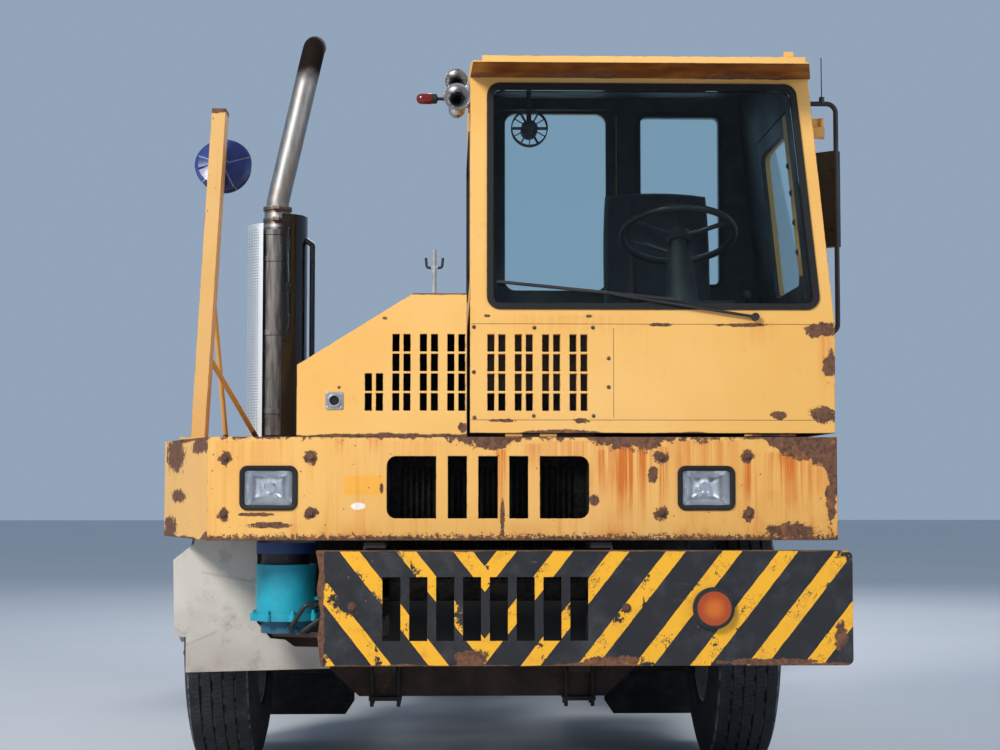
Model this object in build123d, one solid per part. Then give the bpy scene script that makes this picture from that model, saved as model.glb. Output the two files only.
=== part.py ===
from build123d import *
import math
import os

# Terminal tractor with a one-man cab on its left side, in millimetres.
# It looks towards -Y, its left side is +X, and the ground is at Z 0.
# The origin is on the ground, on the centreline, halfway along the truck.

# Overall layout
LENGTH = 5100.0
BUMPER_PROUD = 200.0
AXLE_SETBACK = 1200.0
WHEELBASE = 2950.0
BUMPER_Y = -LENGTH / 2
TAIL_Y = LENGTH / 2
NOSE_Y = BUMPER_Y + BUMPER_PROUD
FRONT_AXLE_Y = NOSE_Y + AXLE_SETBACK
REAR_AXLE_Y = FRONT_AXLE_Y + WHEELBASE
SEAT_GAP = 0.3
PIN_GAP = 0.1

# Wheels and tyres
TYRE_R = 525.0
TYRE_W = 279.0
RIM_R = 286.0
RIM_W = 236.0
BEAD_RISE = 1.9
FRONT_WHEEL_X = 1020.0
FRONT_DISC_OUT = 150.0
DUAL_X = 908.0
DUAL_SPACING = 343.0
AXLE_Z = TYRE_R
HUB_BORE_R = 30.0
REAR_SPINDLE_R = 45.0
HAND_HOLES = 10
DRUM_R = 205.0
DRUM_WALL = 15.0

# Frame
RAIL_X = 432.0
RAIL_TOP = 900.0
RAIL_H = 254.0
RAIL_FLANGE = 76.0
RAIL_T = 8.0
RAIL_BOTTOM = RAIL_TOP - RAIL_H
RAIL_FRONT_Y = NOSE_Y - 30.0

# Nose, deck and hood
DECK_TOP = 1278.0
NOSE_BOTTOM = 918.0
SHEET = 8.0
NOSE_RIGHT_X = -974.0
DECK_RIGHT_X = -1227.0
DECK_LEFT_X = 1223.0
TAPER_LENGTH = 700.0
DECK_END_Y = FRONT_AXLE_Y + 590.0
ARCH_BOTTOM = 1100.0
ENGINE_BAY_X = (-600.0, 400.0)
ENGINE_BAY_Y = (NOSE_Y + 200.0, NOSE_Y + 1240.0)
HOOD_X = (-667.0, -75.0)
HOOD_SHOULDER_Z = 1529.0
HOOD_TOP_X = -262.0
HOOD_TOP_Z = 1781.0
HOOD_SHEET = 6.0

# Cab
CAB_LENGTH = 1300.0
CAB_INNER_X = -63.0
CAB_OUTER_X = 1217.0
CAB_WAIST_X = 1221.0
CAB_WAIST_Z = 1662.0
CAB_LEAN = 0.0998
CAB_BOTTOM = 1292.0
CAB_WALL = 40.0
CAB_REAR_Y = NOSE_Y + CAB_LENGTH
ROOF_FRONT_Z = 2548.0
ROOF_REAR_Z = 2740.0
ROOF_T = 40.0
VISOR_OUT = 200.0
GASKET = 22.0
GLASS_T = 6.0
HINGE_R = 6.5

# Boom and fifth wheel
BOOM_PIVOT_Y = FRONT_AXLE_Y + 1300.0
BOOM_PIVOT_Z = 820.0
BOOM_SHAFT_R = 30.0
BOOM_ARM_X = (200.0, 280.0)
BOOM_ARM_Z = (805.0, 955.0)
PLATE_Y = REAR_AXLE_Y - 80.0
PLATE_TOP = 1120.0
PLATE_AXIS_Z = 1040.0
KINGPIN_BORE_R = 25.7
LIFT_BASE = (BOOM_PIVOT_Y + 300.0, 640.0)
LIFT_EYE = (BOOM_PIVOT_Y + 950.0, 860.0)
LIFT_X = 130.0
LIFT_PIN_R = 18.0
LIFT_EYE_PLAY = 4.0


def block(xs, ys, zs):
    """Box between its low and high X, Y and Z."""
    size = [high - low for low, high in (xs, ys, zs)]
    middle = [(low + high) / 2 for low, high in (xs, ys, zs)]
    return Pos(*middle) * Box(*size)


def bar(start, end, radius):
    """Round bar from one point to another."""
    foot = Vector(*start)
    along = Vector(*end) - foot
    upright = Cylinder(radius, along.length, align=(Align.CENTER, Align.CENTER, Align.MIN))
    return Plane(origin=foot, z_dir=along) * upright


def outline(points, radius=0.0):
    """Flat face from its corners, with all of them rounded."""
    face = Polygon(*points, align=None)
    if radius:
        face = fillet(face.vertices(), radius)
    return face


def along_x(face, low, high):
    """Solid from a face drawn in Y and Z."""
    return Plane.YZ.offset(low) * extrude(face, high - low, dir=(0, 0, 1))


def along_y(face, low, high):
    """Solid from a face drawn in X and Z."""
    return Plane.XZ.offset(-high) * extrude(face, high - low, dir=(0, 0, 1))


def along_z(face, low, high):
    """Solid from a face drawn in X and Y."""
    return Plane.XY.offset(low) * extrude(face, high - low, dir=(0, 0, 1))


def rectangle(lows, highs, radius=0.0):
    """Flat face from its lowest and highest corners."""
    corners = [lows, (highs[0], lows[1]), highs, (lows[0], highs[1])]
    return outline(corners, radius)


def turned(points):
    """Solid turned round the X axis, from points of X and radius."""
    return revolve(outline(points), axis=Axis.X)


def pipe(route, bend, radius):
    """Round bar that follows a route with equal bends."""
    path = FilletPolyline(*route, radius=bend)
    start = Plane(origin=path @ 0, z_dir=path % 0)
    return sweep(start * Circle(radius), path=path)


def cone(start, end, start_radius, end_radius):
    """Round taper from one point to another."""
    foot = Vector(*start)
    along = Vector(*end) - foot
    upright = Cone(start_radius, end_radius, along.length, align=(Align.CENTER, Align.CENTER, Align.MIN))
    return Plane(origin=foot, z_dir=along) * upright


def other_side(shape):
    """The same shape on the truck's other side."""
    return mirror(shape, Plane.YZ)


def roof_under(y):
    """Height of the roof's underside above a place along the cab."""
    return ROOF_FRONT_Z + (y - NOSE_Y) * (ROOF_REAR_Z - ROOF_FRONT_Z) / CAB_LENGTH


def cab_outer(z):
    """X of the cab's outer wall at a height."""
    if z <= CAB_WAIST_Z:
        return CAB_OUTER_X + (CAB_WAIST_X - CAB_OUTER_X) * (z - CAB_BOTTOM) / (CAB_WAIST_Z - CAB_BOTTOM)
    return CAB_WAIST_X - CAB_LEAN * (z - CAB_WAIST_Z)


pieces = {}


# Frame rails, each a channel open to the inside
def make_rails():
    inner = RAIL_X - RAIL_FLANGE
    web = RAIL_X - RAIL_T
    channel = outline([
        (RAIL_X, RAIL_BOTTOM), (RAIL_X, RAIL_TOP), (inner, RAIL_TOP), (inner, RAIL_TOP - RAIL_T),
        (web, RAIL_TOP - RAIL_T), (web, RAIL_BOTTOM + RAIL_T), (inner, RAIL_BOTTOM + RAIL_T),
                       (inner, RAIL_BOTTOM),
    ])
    rail = along_y(channel, RAIL_FRONT_Y, TAIL_Y - SHEET)
    return [rail, other_side(rail)]


pieces["frame_rails"] = make_rails()


# Crossmembers: place along the truck, length along Y, low and high Z
CROSSMEMBERS = [
    (NOSE_Y + 105.0, 90.0, 655.0, 705.0),
    (FRONT_AXLE_Y + 530.0, 90.0, 655.0, 700.0),
    (BOOM_PIVOT_Y - 190.0, 80.0, 660.0, 885.0),
    (LIFT_BASE[0] - 60.0, 60.0, 655.0, 700.0),
    (REAR_AXLE_Y - 480.0, 80.0, 655.0, 770.0),
    (TAIL_Y - 60.0, 60.0, 655.0, 890.0),
]


CHANNEL_T = 10.0
DROP_X = 345.0
DROP_Z = 556.0


def make_crossmembers():
    reach = RAIL_X - RAIL_T - SEAT_GAP
    members = []
    for middle, depth, low, high in CROSSMEMBERS:
        member = block((-reach, reach), (middle - depth / 2, middle + depth / 2), (low, high))
        hollow = (middle - depth / 2 + CHANNEL_T, middle + depth / 2 + 1)
        member -= block((-reach + CHANNEL_T, reach - CHANNEL_T), hollow, (low + CHANNEL_T, high - CHANNEL_T))
        members.append(member)
    # Drop below the front member, between the rails' flanges
    middle, depth = CROSSMEMBERS[0][:2]
    members[0] += block((-DROP_X, DROP_X), (middle - depth / 2, middle - depth / 2 + CHANNEL_T),
                        (DROP_Z, 660.0))
    members[0] += block((-DROP_X, DROP_X), (middle - depth / 2, middle + depth / 2),
                        (DROP_Z, DROP_Z + CHANNEL_T))
    # Pivot shaft of the boom, held in the two webs
    pivot = bar((-reach, BOOM_PIVOT_Y, BOOM_PIVOT_Z), (reach, BOOM_PIVOT_Y, BOOM_PIVOT_Z), BOOM_SHAFT_R)
    members.append(pivot)
    # Lower lugs and pins of the lift cylinders, on their crossmember
    y, z = LIFT_BASE
    for x in (-LIFT_X, LIFT_X):
        pin = bar((x - 55.0, y, z), (x + 55.0, y, z), LIFT_PIN_R)
        lugs = []
        for side in (-1, 1):
            face = outline([(y - 90.0, 655.0), (y - 90.0, 700.0), (y - 30.0, 700.0), (y + 28.0, z + 18.0),
                            (y + 28.0, z - 28.0), (y - 28.0, z - 28.0)])
            near = x + side * 42.0
            far = x + side * 54.0
            lugs.append(along_x(face, min(near, far), max(near, far)))
        members[3] = members[3] + lugs[0] + lugs[1] + pin
    tail = block((-RAIL_X, RAIL_X), (TAIL_Y - SHEET + SEAT_GAP, TAIL_Y), (RAIL_BOTTOM, RAIL_TOP))
    members.append(tail)
    return members


# Front bumper, whose right part is torn off
BUMPER_X = (-583.0, 1231.0)
BUMPER_Z = (502.0, 888.0)
BUMPER_T = 12.0
BUMPER_FLANGE = 80.0
BUMPER_CORNER = 22.0
BUMPER_SLOTS = 8
BUMPER_SLOT_PITCH = 90.4
BUMPER_SLOT_X = -329.0
BUMPER_SLOT_SIZE = (61.0, 214.0)
BUMPER_SLOT_Z = 693.0


def make_bumper():
    left, right = BUMPER_X
    low, high = BUMPER_Z
    face = outline([(left + 18, low), (right, low), (right, high), (left, high), (left + 12, high - 70),
                    (left + 3, high - 130), (left + 16, high - 210), (left + 6, high - 290)])
    face = fillet(face.vertices().sort_by(Axis.X)[-2:], BUMPER_CORNER)
    plate = along_y(face, BUMPER_Y, BUMPER_Y + BUMPER_T)
    plate += block((left, right - 30), (BUMPER_Y, BUMPER_Y + BUMPER_FLANGE), (high - BUMPER_T, high))
    plate += block((left + 18, right - 30), (BUMPER_Y, BUMPER_Y + BUMPER_FLANGE), (low, low + BUMPER_T))
    width, height = BUMPER_SLOT_SIZE
    for count in range(BUMPER_SLOTS):
        x = BUMPER_SLOT_X + count * BUMPER_SLOT_PITCH
        slot = rectangle((x - width / 2, BUMPER_SLOT_Z - height / 2),
                         (x + width / 2, BUMPER_SLOT_Z + height / 2))
        plate -= along_y(slot, BUMPER_Y - 1, BUMPER_Y + BUMPER_T + 1)
    solids = [plate]
    # Brackets from the rails' webs
    for side in (-1, 1):
        near = side * (RAIL_X + SEAT_GAP)
        far = side * (RAIL_X + 20.0)
        solids.append(block((min(near, far), max(near, far)),
                            (BUMPER_Y + BUMPER_T + SEAT_GAP, NOSE_Y + 150.0), (660.0, 860.0)))
    return solids


pieces["front_bumper"] = make_bumper()


# Nose panel with the grille, and openings for the lamps
LAMP_X = 763.0
LAMP_Z = 1100.0
LAMP_OPENING = (184.0, 138.0)
GRILLE_Z = (994.0, 1211.0)
GRILLE_X = [(-353.0, -181.0), (-140.0, -74.0), (-34.0, 34.0), (74.0, 140.0), (181.0, 353.0)]
GRILLE_CORNER = 34.0


def make_nose():
    panel = block((NOSE_RIGHT_X, DECK_LEFT_X), (NOSE_Y, NOSE_Y + SHEET), (NOSE_BOTTOM, DECK_TOP))
    low, high = GRILLE_Z
    for x_low, x_high in GRILLE_X:
        opening = rectangle((x_low, low), (x_high, high))
        if x_high - x_low > 100.0:
            outside = opening.vertices().sort_by(Axis.X)
            rounded = outside[:2] if x_low < 0 else outside[-2:]
            opening = fillet(rounded, GRILLE_CORNER)
        panel -= along_y(opening, NOSE_Y - 1, NOSE_Y + SHEET + 1)
    for x in (-LAMP_X, LAMP_X):
        half_w, half_h = LAMP_OPENING[0] / 2, LAMP_OPENING[1] / 2
        opening = rectangle((x - half_w, LAMP_Z - half_h), (x + half_w, LAMP_Z + half_h), 18.0)
        panel -= along_y(opening, NOSE_Y - 1, NOSE_Y + SHEET + 1)
    return [panel]


pieces["nose_panel"] = make_nose()


# Deck plates round the engine bay
def make_deck_top():
    bay_low, bay_high = ENGINE_BAY_X
    bay_front, bay_rear = ENGINE_BAY_Y
    front = NOSE_Y + SHEET + SEAT_GAP
    skirt = SHEET + SEAT_GAP
    right = outline([(NOSE_RIGHT_X + skirt, front), (bay_low, front), (bay_low, DECK_END_Y),
                     (DECK_RIGHT_X + skirt, DECK_END_Y), (DECK_RIGHT_X + skirt, NOSE_Y + TAPER_LENGTH + 4)])
    left = outline([(bay_high, front), (DECK_LEFT_X - skirt, front), (DECK_LEFT_X - skirt, DECK_END_Y),
                    (660.0, DECK_END_Y), (660.0, CAB_REAR_Y), (bay_high, CAB_REAR_Y)])
    strips = [
        rectangle((bay_low + SEAT_GAP, front), (bay_high - SEAT_GAP, bay_front)),
        rectangle((bay_low + SEAT_GAP, bay_rear), (bay_high - SEAT_GAP, CAB_REAR_Y)),
    ]
    plates = [along_z(face, DECK_TOP - SHEET, DECK_TOP) for face in [right, left] + strips]
    plates[0] -= bar((EXHAUST_X, EXHAUST_Y, DECK_TOP - 50), (EXHAUST_X, EXHAUST_Y, DECK_TOP + 50),
                     DECK_HOLE_R)
    return plates


# Skirts of the deck, cut up over the wheels
def make_skirts():
    arch_front = FRONT_AXLE_Y - 560.0
    taper_end = NOSE_Y + TAPER_LENGTH
    taper = outline([(NOSE_RIGHT_X, NOSE_Y + SHEET + SEAT_GAP),
                     (NOSE_RIGHT_X + SHEET, NOSE_Y + SHEET + SEAT_GAP),
                     (DECK_RIGHT_X + SHEET, taper_end), (DECK_RIGHT_X, taper_end)])
    right_front = along_z(taper, NOSE_BOTTOM, DECK_TOP)
    right_arch = block((DECK_RIGHT_X, DECK_RIGHT_X + SHEET), (taper_end + SEAT_GAP, DECK_END_Y),
                       (ARCH_BOTTOM, DECK_TOP))
    left = along_x(outline([(NOSE_Y + SHEET + SEAT_GAP, NOSE_BOTTOM), (arch_front, NOSE_BOTTOM),
                            (arch_front + 50.0, ARCH_BOTTOM), (DECK_END_Y, ARCH_BOTTOM),
                            (DECK_END_Y, DECK_TOP), (NOSE_Y + SHEET + SEAT_GAP, DECK_TOP)]),
                   DECK_LEFT_X - SHEET, DECK_LEFT_X)
    return [right_front, right_arch, left]


pieces["deck_skirts"] = make_skirts()


# Posts and arms that carry the deck on the rails: place and depth along Y
DECK_ARMS = [(NOSE_Y + 26.0, 34.0), (CAB_REAR_Y - 20.0, 40.0), (DECK_END_Y - 30.0, 40.0)]


def make_deck_arms():
    solids = []
    high = DECK_TOP - SHEET - SEAT_GAP
    for middle, depth in DECK_ARMS:
        post_low = RAIL_X - RAIL_FLANGE + 4.0
        reach = 960.0 if middle < FRONT_AXLE_Y - 500.0 else 1200.0
        face = outline([(post_low, RAIL_TOP + SEAT_GAP), (RAIL_X, RAIL_TOP + SEAT_GAP), (RAIL_X, high - 60.0),
                        (reach, high - 60.0), (reach, high), (post_low, high)])
        arm = along_y(face, middle - depth / 2, middle + depth / 2)
        if middle < FRONT_AXLE_Y - 500.0:
            arm -= block((LAMP_X - 110.0, LAMP_X + 110.0), (middle - depth, middle + depth),
                         (0.0, LAMP_Z + 85.0))
        solids += [arm, other_side(arm)]
    return solids


pieces["crossmembers"] = make_crossmembers() + make_deck_arms()


# Headlamps behind the nose, with their bezels in front
def make_headlamps():
    half_w, half_h = LAMP_OPENING[0] / 2, LAMP_OPENING[1] / 2
    shell = rectangle((LAMP_X - half_w + 0.5, LAMP_Z - half_h + 0.5),
                      (LAMP_X + half_w - 0.5, LAMP_Z + half_h - 0.5),
                      17.0)
    lamp = along_y(shell, NOSE_Y + 2.0, NOSE_Y + 70.0)
    rim = rectangle((LAMP_X - half_w - 9, LAMP_Z - half_h - 9), (LAMP_X + half_w + 9, LAMP_Z + half_h + 9),
                    22.0)
    inner = rectangle((LAMP_X - half_w + 6, LAMP_Z - half_h + 6), (LAMP_X + half_w - 6, LAMP_Z + half_h - 6),
                      14.0)
    lamp += along_y(rim - inner, NOSE_Y - 7.0, NOSE_Y - SEAT_GAP)
    lamp += along_y(shell - inner, NOSE_Y - 6.0, NOSE_Y + 10.0)
    return [lamp, other_side(lamp)]


pieces["headlamps"] = make_headlamps()

# Amber marker lamp on the bumper
MARKER_X = 757.0
MARKER_Z = 695.0
MARKER_R = 71.0
marker_lamp = bar((MARKER_X, BUMPER_Y - SEAT_GAP, MARKER_Z), (MARKER_X, BUMPER_Y - 14.0, MARKER_Z), MARKER_R)
marker_lamp += bar((MARKER_X, BUMPER_Y - SEAT_GAP, MARKER_Z), (MARKER_X, BUMPER_Y - 26.0, MARKER_Z),
                   MARKER_R - 9.0)


# Louvre slots, in pairs side by side: pairs and rows start at the low corner
SLOT_SIZE = (24.4, 61.0)
SLOT_PAIR_GAP = 38.6
SLOT_PITCH_X = 95.9
SLOT_PITCH_Z = 69.0
SLOT_ROW_Z = 1400.0
SLOT_ROWS = 4
CAB_SLOT_X = 29.1
HOOD_SLOT_X = -398.7


def cut_slots(panel, first_x, pairs, depth, first_rows):
    """Cut the slots into a front panel; the first pair has fewer rows."""
    width, height = SLOT_SIZE
    for pair in range(pairs):
        rows = first_rows if pair == 0 else SLOT_ROWS
        for row in range(rows):
            z = SLOT_ROW_Z + row * SLOT_PITCH_Z
            for side in (-0.5, 0.5):
                x = first_x + pair * SLOT_PITCH_X + side * SLOT_PAIR_GAP
                panel -= block((x - width / 2, x + width / 2), (NOSE_Y - 1, NOSE_Y + depth),
                               (z - height / 2, z + height / 2))
    return panel


# Hood over the right part of the engine, open below
def hood_outline(inset):
    left = HOOD_X[1] - inset
    right = HOOD_X[0] + inset
    slope = math.atan2(HOOD_TOP_Z - HOOD_SHOULDER_Z, HOOD_TOP_X - HOOD_X[0])
    drop = inset * math.tan((math.pi / 2 - slope) / 2)
    shift = inset * math.tan(slope / 2)
    return outline([(left, DECK_TOP + SEAT_GAP), (left, HOOD_TOP_Z - inset),
                    (HOOD_TOP_X + shift, HOOD_TOP_Z - inset),
                    (right, HOOD_SHOULDER_Z - drop), (right, DECK_TOP + SEAT_GAP)])


HOOD_VENTS = 8


def make_hood():
    shell = along_y(hood_outline(0.0), NOSE_Y, CAB_REAR_Y)
    shell -= along_y(hood_outline(HOOD_SHEET), NOSE_Y + HOOD_SHEET, CAB_REAR_Y - HOOD_SHEET)
    shell = cut_slots(shell, HOOD_SLOT_X, 4, HOOD_SHEET + 1, 2)
    # Air slots and a recessed latch in the right side
    for count in range(HOOD_VENTS):
        y = NOSE_Y + 420.0 + count * 70.0
        shell -= block((HOOD_X[0] - 1, HOOD_X[0] + HOOD_SHEET + 1), (y, y + 26), (1350.0, 1480.0))
    shell += block((HOOD_X[0] - 14, HOOD_X[0] + 1), (NOSE_Y + 200, NOSE_Y + 300), (1320.0, 1345.0))
    shell += block((HOOD_X[0] - 14, HOOD_X[0] - 8), (NOSE_Y + 200, NOSE_Y + 300), (1320.0, 1420.0))
    return [shell]


pieces["hood"] = make_hood()


# Engine with its gearbox, seen below the hood and when the cab is tilted
ENGINE_Y = (NOSE_Y + 290.0, FRONT_AXLE_Y - 50.0)
ENGINE_Z = 960.0
ENGINE_FOOT_Y = ENGINE_Y[0] + 350.0
CYLINDERS = 6
CYLINDER_PITCH = (ENGINE_Y[1] - ENGINE_Y[0] - 130.0) / CYLINDERS
FIRST_CYLINDER_Y = ENGINE_Y[0] + 65.0 + CYLINDER_PITCH / 2
FAN_R = 255.0
FAN_BLADES = 6
GEARBOX_X = 200.0
TRANSFER_X = 150.0
TRANSFER_Y = (FRONT_AXLE_Y + 580.0, FRONT_AXLE_Y + 700.0)
GEARBOX_END_Y = TRANSFER_Y[1]
TURBO = (-262.0, ENGINE_Y[1] - 330.0, 1120.0)


def make_block():
    """Crankcase, head, rocker cover and sump."""
    front, rear = ENGINE_Y
    crankcase = outline([(-150, 690), (150, 690), (215, 790), (215, 880), (165, 900), (165, 1080),
                         (-165, 1080),
                         (-165, 900), (-215, 880), (-215, 790)])
    body = along_y(crankcase, front, rear)
    body += along_y(rectangle((-130.0, 1079.0), (130.0, 1150.0)), front + 30, rear - 20)
    body += along_y(rectangle((-95.0, 1140.0), (95.0, 1225.0), 28.0), front + 60, rear - 40)
    sump = outline([(-135, 695), (135, 695), (105, 605), (-105, 605)])
    body += along_y(sump, front + 60, front + 360)
    shallow = outline([(-135, 695), (135, 695), (125, 665), (-125, 665)])
    body += along_y(shallow, front + 300, rear - 60)
    return body


def make_manifolds():
    """Intake pipe on the left, exhaust pipe and turbocharger on the right."""
    last_y = FIRST_CYLINDER_Y + CYLINDER_PITCH * (CYLINDERS - 1)
    parts = bar((192, FIRST_CYLINDER_Y - 50, 1120), (192, last_y + 50, 1120), 36.0)
    parts += bar((-185, FIRST_CYLINDER_Y - 40, 1120), (-185, last_y + 40, 1120), 28.0)
    for count in range(CYLINDERS):
        y = FIRST_CYLINDER_Y + CYLINDER_PITCH * count
        parts += bar((120, y, 1120), (190, y, 1120), 22.0)
        parts += bar((-120, y, 1120), (-185, y, 1120), 22.0)
        parts += Pos(0, y, 1226) * Cylinder(16.0, 12.0)
    x, y, z = TURBO
    parts += Pos(x, y - 55, z) * Rot(90, 0, 0) * Torus(48.0, 24.0) + bar((x, y - 80, z), (x, y - 30, z), 50.0)
    parts += bar((x, y - 40, z), (x, y + 50, z), 30.0)
    parts += bar((x, y + 20, z), (x, y + 60, z), 62.0)
    parts += bar((x, y + 25, z), (-185, y + 25, z), 30.0)
    return parts


def make_engine_front():
    """Timing cover, pulleys, alternator and fan."""
    front = ENGINE_Y[0]
    parts = along_y(outline([(-150, 720), (150, 720), (130, 1060), (-130, 1060)], 30.0), front - 40,
                    front + 1)
    parts += bar((0, front - 95, 790), (0, front - 38, 790), 95.0)
    parts += bar((0, front - 120, ENGINE_Z), (0, front - 38, ENGINE_Z), 70.0)
    parts += bar((205, front - 70, 960), (205, front + 90, 960), 62.0)
    parts += bar((205, front - 90, 960), (205, front - 70, 960), 38.0)
    parts += block((150, 210), (front + 10, front + 70), (880, 960))
    blade = block((40, FAN_R), (-5, 5), (-42, 42))
    for count in range(FAN_BLADES):
        turn = Rot(0, 360.0 / FAN_BLADES * count, 0)
        parts += Pos(0, front - 105, ENGINE_Z) * turn * Rot(28, 0, 0) * blade
    return parts


def make_gearbox():
    """Bell housing, ribbed gearbox and transfer case."""
    rear = ENGINE_Y[1]
    axis_z = 850.3
    parts = bar((0, rear - 1, axis_z), (0, rear + 60, axis_z), 205.0)
    parts += cone((0, rear + 59, axis_z), (0, rear + 200, axis_z), 205.0, 150.0)
    low, high = 700.0 + SEAT_GAP, 1000.0
    wide = GEARBOX_X - 8
    side = outline([(-wide + 50, low), (wide - 50, low), (wide, low + 60), (wide, high - 70),
                    (wide - 60, high),
                    (-wide + 60, high), (-wide, high - 70), (-wide, low + 60)])
    parts += along_y(side, rear + 150, TRANSFER_Y[0])
    rib = outline([(-GEARBOX_X + 50, low), (GEARBOX_X - 50, low), (GEARBOX_X, low + 60),
                   (GEARBOX_X, high - 66),
                   (GEARBOX_X - 62, high + 6), (-GEARBOX_X + 62, high + 6), (-GEARBOX_X, high - 66),
                   (-GEARBOX_X, low + 60)])
    for count in range(5):
        y = rear + 190 + count * 90.0
        parts += along_y(rib, y, y + 12)
    parts += along_y(rectangle((-TRANSFER_X, 540.0), (TRANSFER_X, 1000.0), 60.0), TRANSFER_Y[0] - 1,
                     TRANSFER_Y[1])
    return parts


def make_engine():
    body = make_block() + make_manifolds() + make_engine_front() + make_gearbox()
    foot_z = RAIL_TOP + SEAT_GAP
    for side in (-1, 1):
        near, far = side * 140.0, side * RAIL_X
        body += block((min(near, far), max(near, far)), (ENGINE_FOOT_Y - 50, ENGINE_FOOT_Y + 50),
                      (foot_z, foot_z + 30.0))
        body += bar((side * 394.0, ENGINE_FOOT_Y, foot_z), (side * 394.0, ENGINE_FOOT_Y, foot_z + 55.0), 38.0)
    return [body]


pieces["engine"] = make_engine()

# Radiator between the rails, behind the grille, with its fan shroud
RADIATOR_X = 345.0
RADIATOR_Z = (705.0 + SEAT_GAP, 1250.0)
RADIATOR_Y = (NOSE_Y + 80.0, NOSE_Y + 150.0)
CORE_SLOTS = 30
SHROUD_R = FAN_R + 20.0
# Coolers below the nose: low X, high X and number of fins
COOLERS = [(-37.0, 119.0, 11), (162.0, 226.0, 5), (268.0, 304.0, 3)]


def make_radiator():
    front, rear = RADIATOR_Y
    low, high = RADIATOR_Z
    whole = block((-RADIATOR_X, RADIATOR_X), (front, rear), (low, high))
    pitch = 2 * (RADIATOR_X - 35.0) / CORE_SLOTS
    for count in range(CORE_SLOTS):
        x = -RADIATOR_X + 35.0 + pitch * count
        whole -= block((x + 4, x + pitch - 4), (front - 1, front + 14), (low + 75, high - 75))
    for foot in (low, high - 60.0):
        whole += block((-RADIATOR_X, RADIATOR_X), (front - 12, rear + 8), (foot, foot + 60.0))
    whole += Pos(180, (front + rear) / 2, high + 5) * Cylinder(32.0, 12.0)
    shroud = bar((0, rear - 1, ENGINE_Z), (0, rear + 55, ENGINE_Z), SHROUD_R)
    shroud -= bar((0, rear, ENGINE_Z), (0, rear + 56, ENGINE_Z), SHROUD_R - 8)
    shroud = shroud & block((-SHROUD_R, SHROUD_R), (front, rear + 60), (low, high))
    whole += shroud
    for x_low, x_high, fins in COOLERS:
        whole += block((x_low, x_high), (front - 40, front + 1), (884.0, 892.0))
        step = (x_high - x_low - 6.0) / (fins - 1)
        for count in range(fins):
            x = x_low + step * count
            whole += block((x, x + 6), (front - 40, front - 6), (891.0, 935.0))
    return [whole]


pieces["radiator"] = make_radiator()

# Front axle beam, dropped in the middle, with an eye for each kingpin
KINGPIN_X = 870.0
KINGPIN_R = 22.0
AXLE_EYE_R = 44.0
AXLE_EYE_H = 120.0
BEAM_LOW = 257.0
BEAM_HIGH = 375.0
SPRING_X = RAIL_X - RAIL_FLANGE / 2
SPRING_W = 76.0


def make_front_axle():
    half = outline([(0, BEAM_LOW), (500, BEAM_LOW), (700, AXLE_Z - 85), (800, AXLE_Z - AXLE_EYE_H / 2),
                    (KINGPIN_X, AXLE_Z - AXLE_EYE_H / 2), (KINGPIN_X, AXLE_Z + AXLE_EYE_H / 2),
                    (660, AXLE_Z + 10), (480, BEAM_HIGH), (0, BEAM_HIGH)])
    beam = along_y(half, FRONT_AXLE_Y - 42.0, FRONT_AXLE_Y + 42.0)
    beam += other_side(beam)
    for side in (-1, 1):
        x = side * KINGPIN_X
        beam += Pos(x, FRONT_AXLE_Y, AXLE_Z) * Cylinder(AXLE_EYE_R, AXLE_EYE_H)
        beam -= Pos(x, FRONT_AXLE_Y, AXLE_Z) * Cylinder(KINGPIN_R + PIN_GAP, AXLE_EYE_H + 2)
        seat = side * SPRING_X
        beam += block((seat - 45, seat + 45), (FRONT_AXLE_Y - 90, FRONT_AXLE_Y + 90),
                      (BEAM_HIGH - 20, BEAM_HIGH + 14))
    return [beam]


pieces["front_axle"] = make_front_axle()

# Leaf springs: half length of each leaf, from the longest down
LEAVES = [530.0, 440.0, 350.0, 260.0, 170.0]
LEAF_T = 13.0
SPRING_EYE_Z = 575.0


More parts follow.
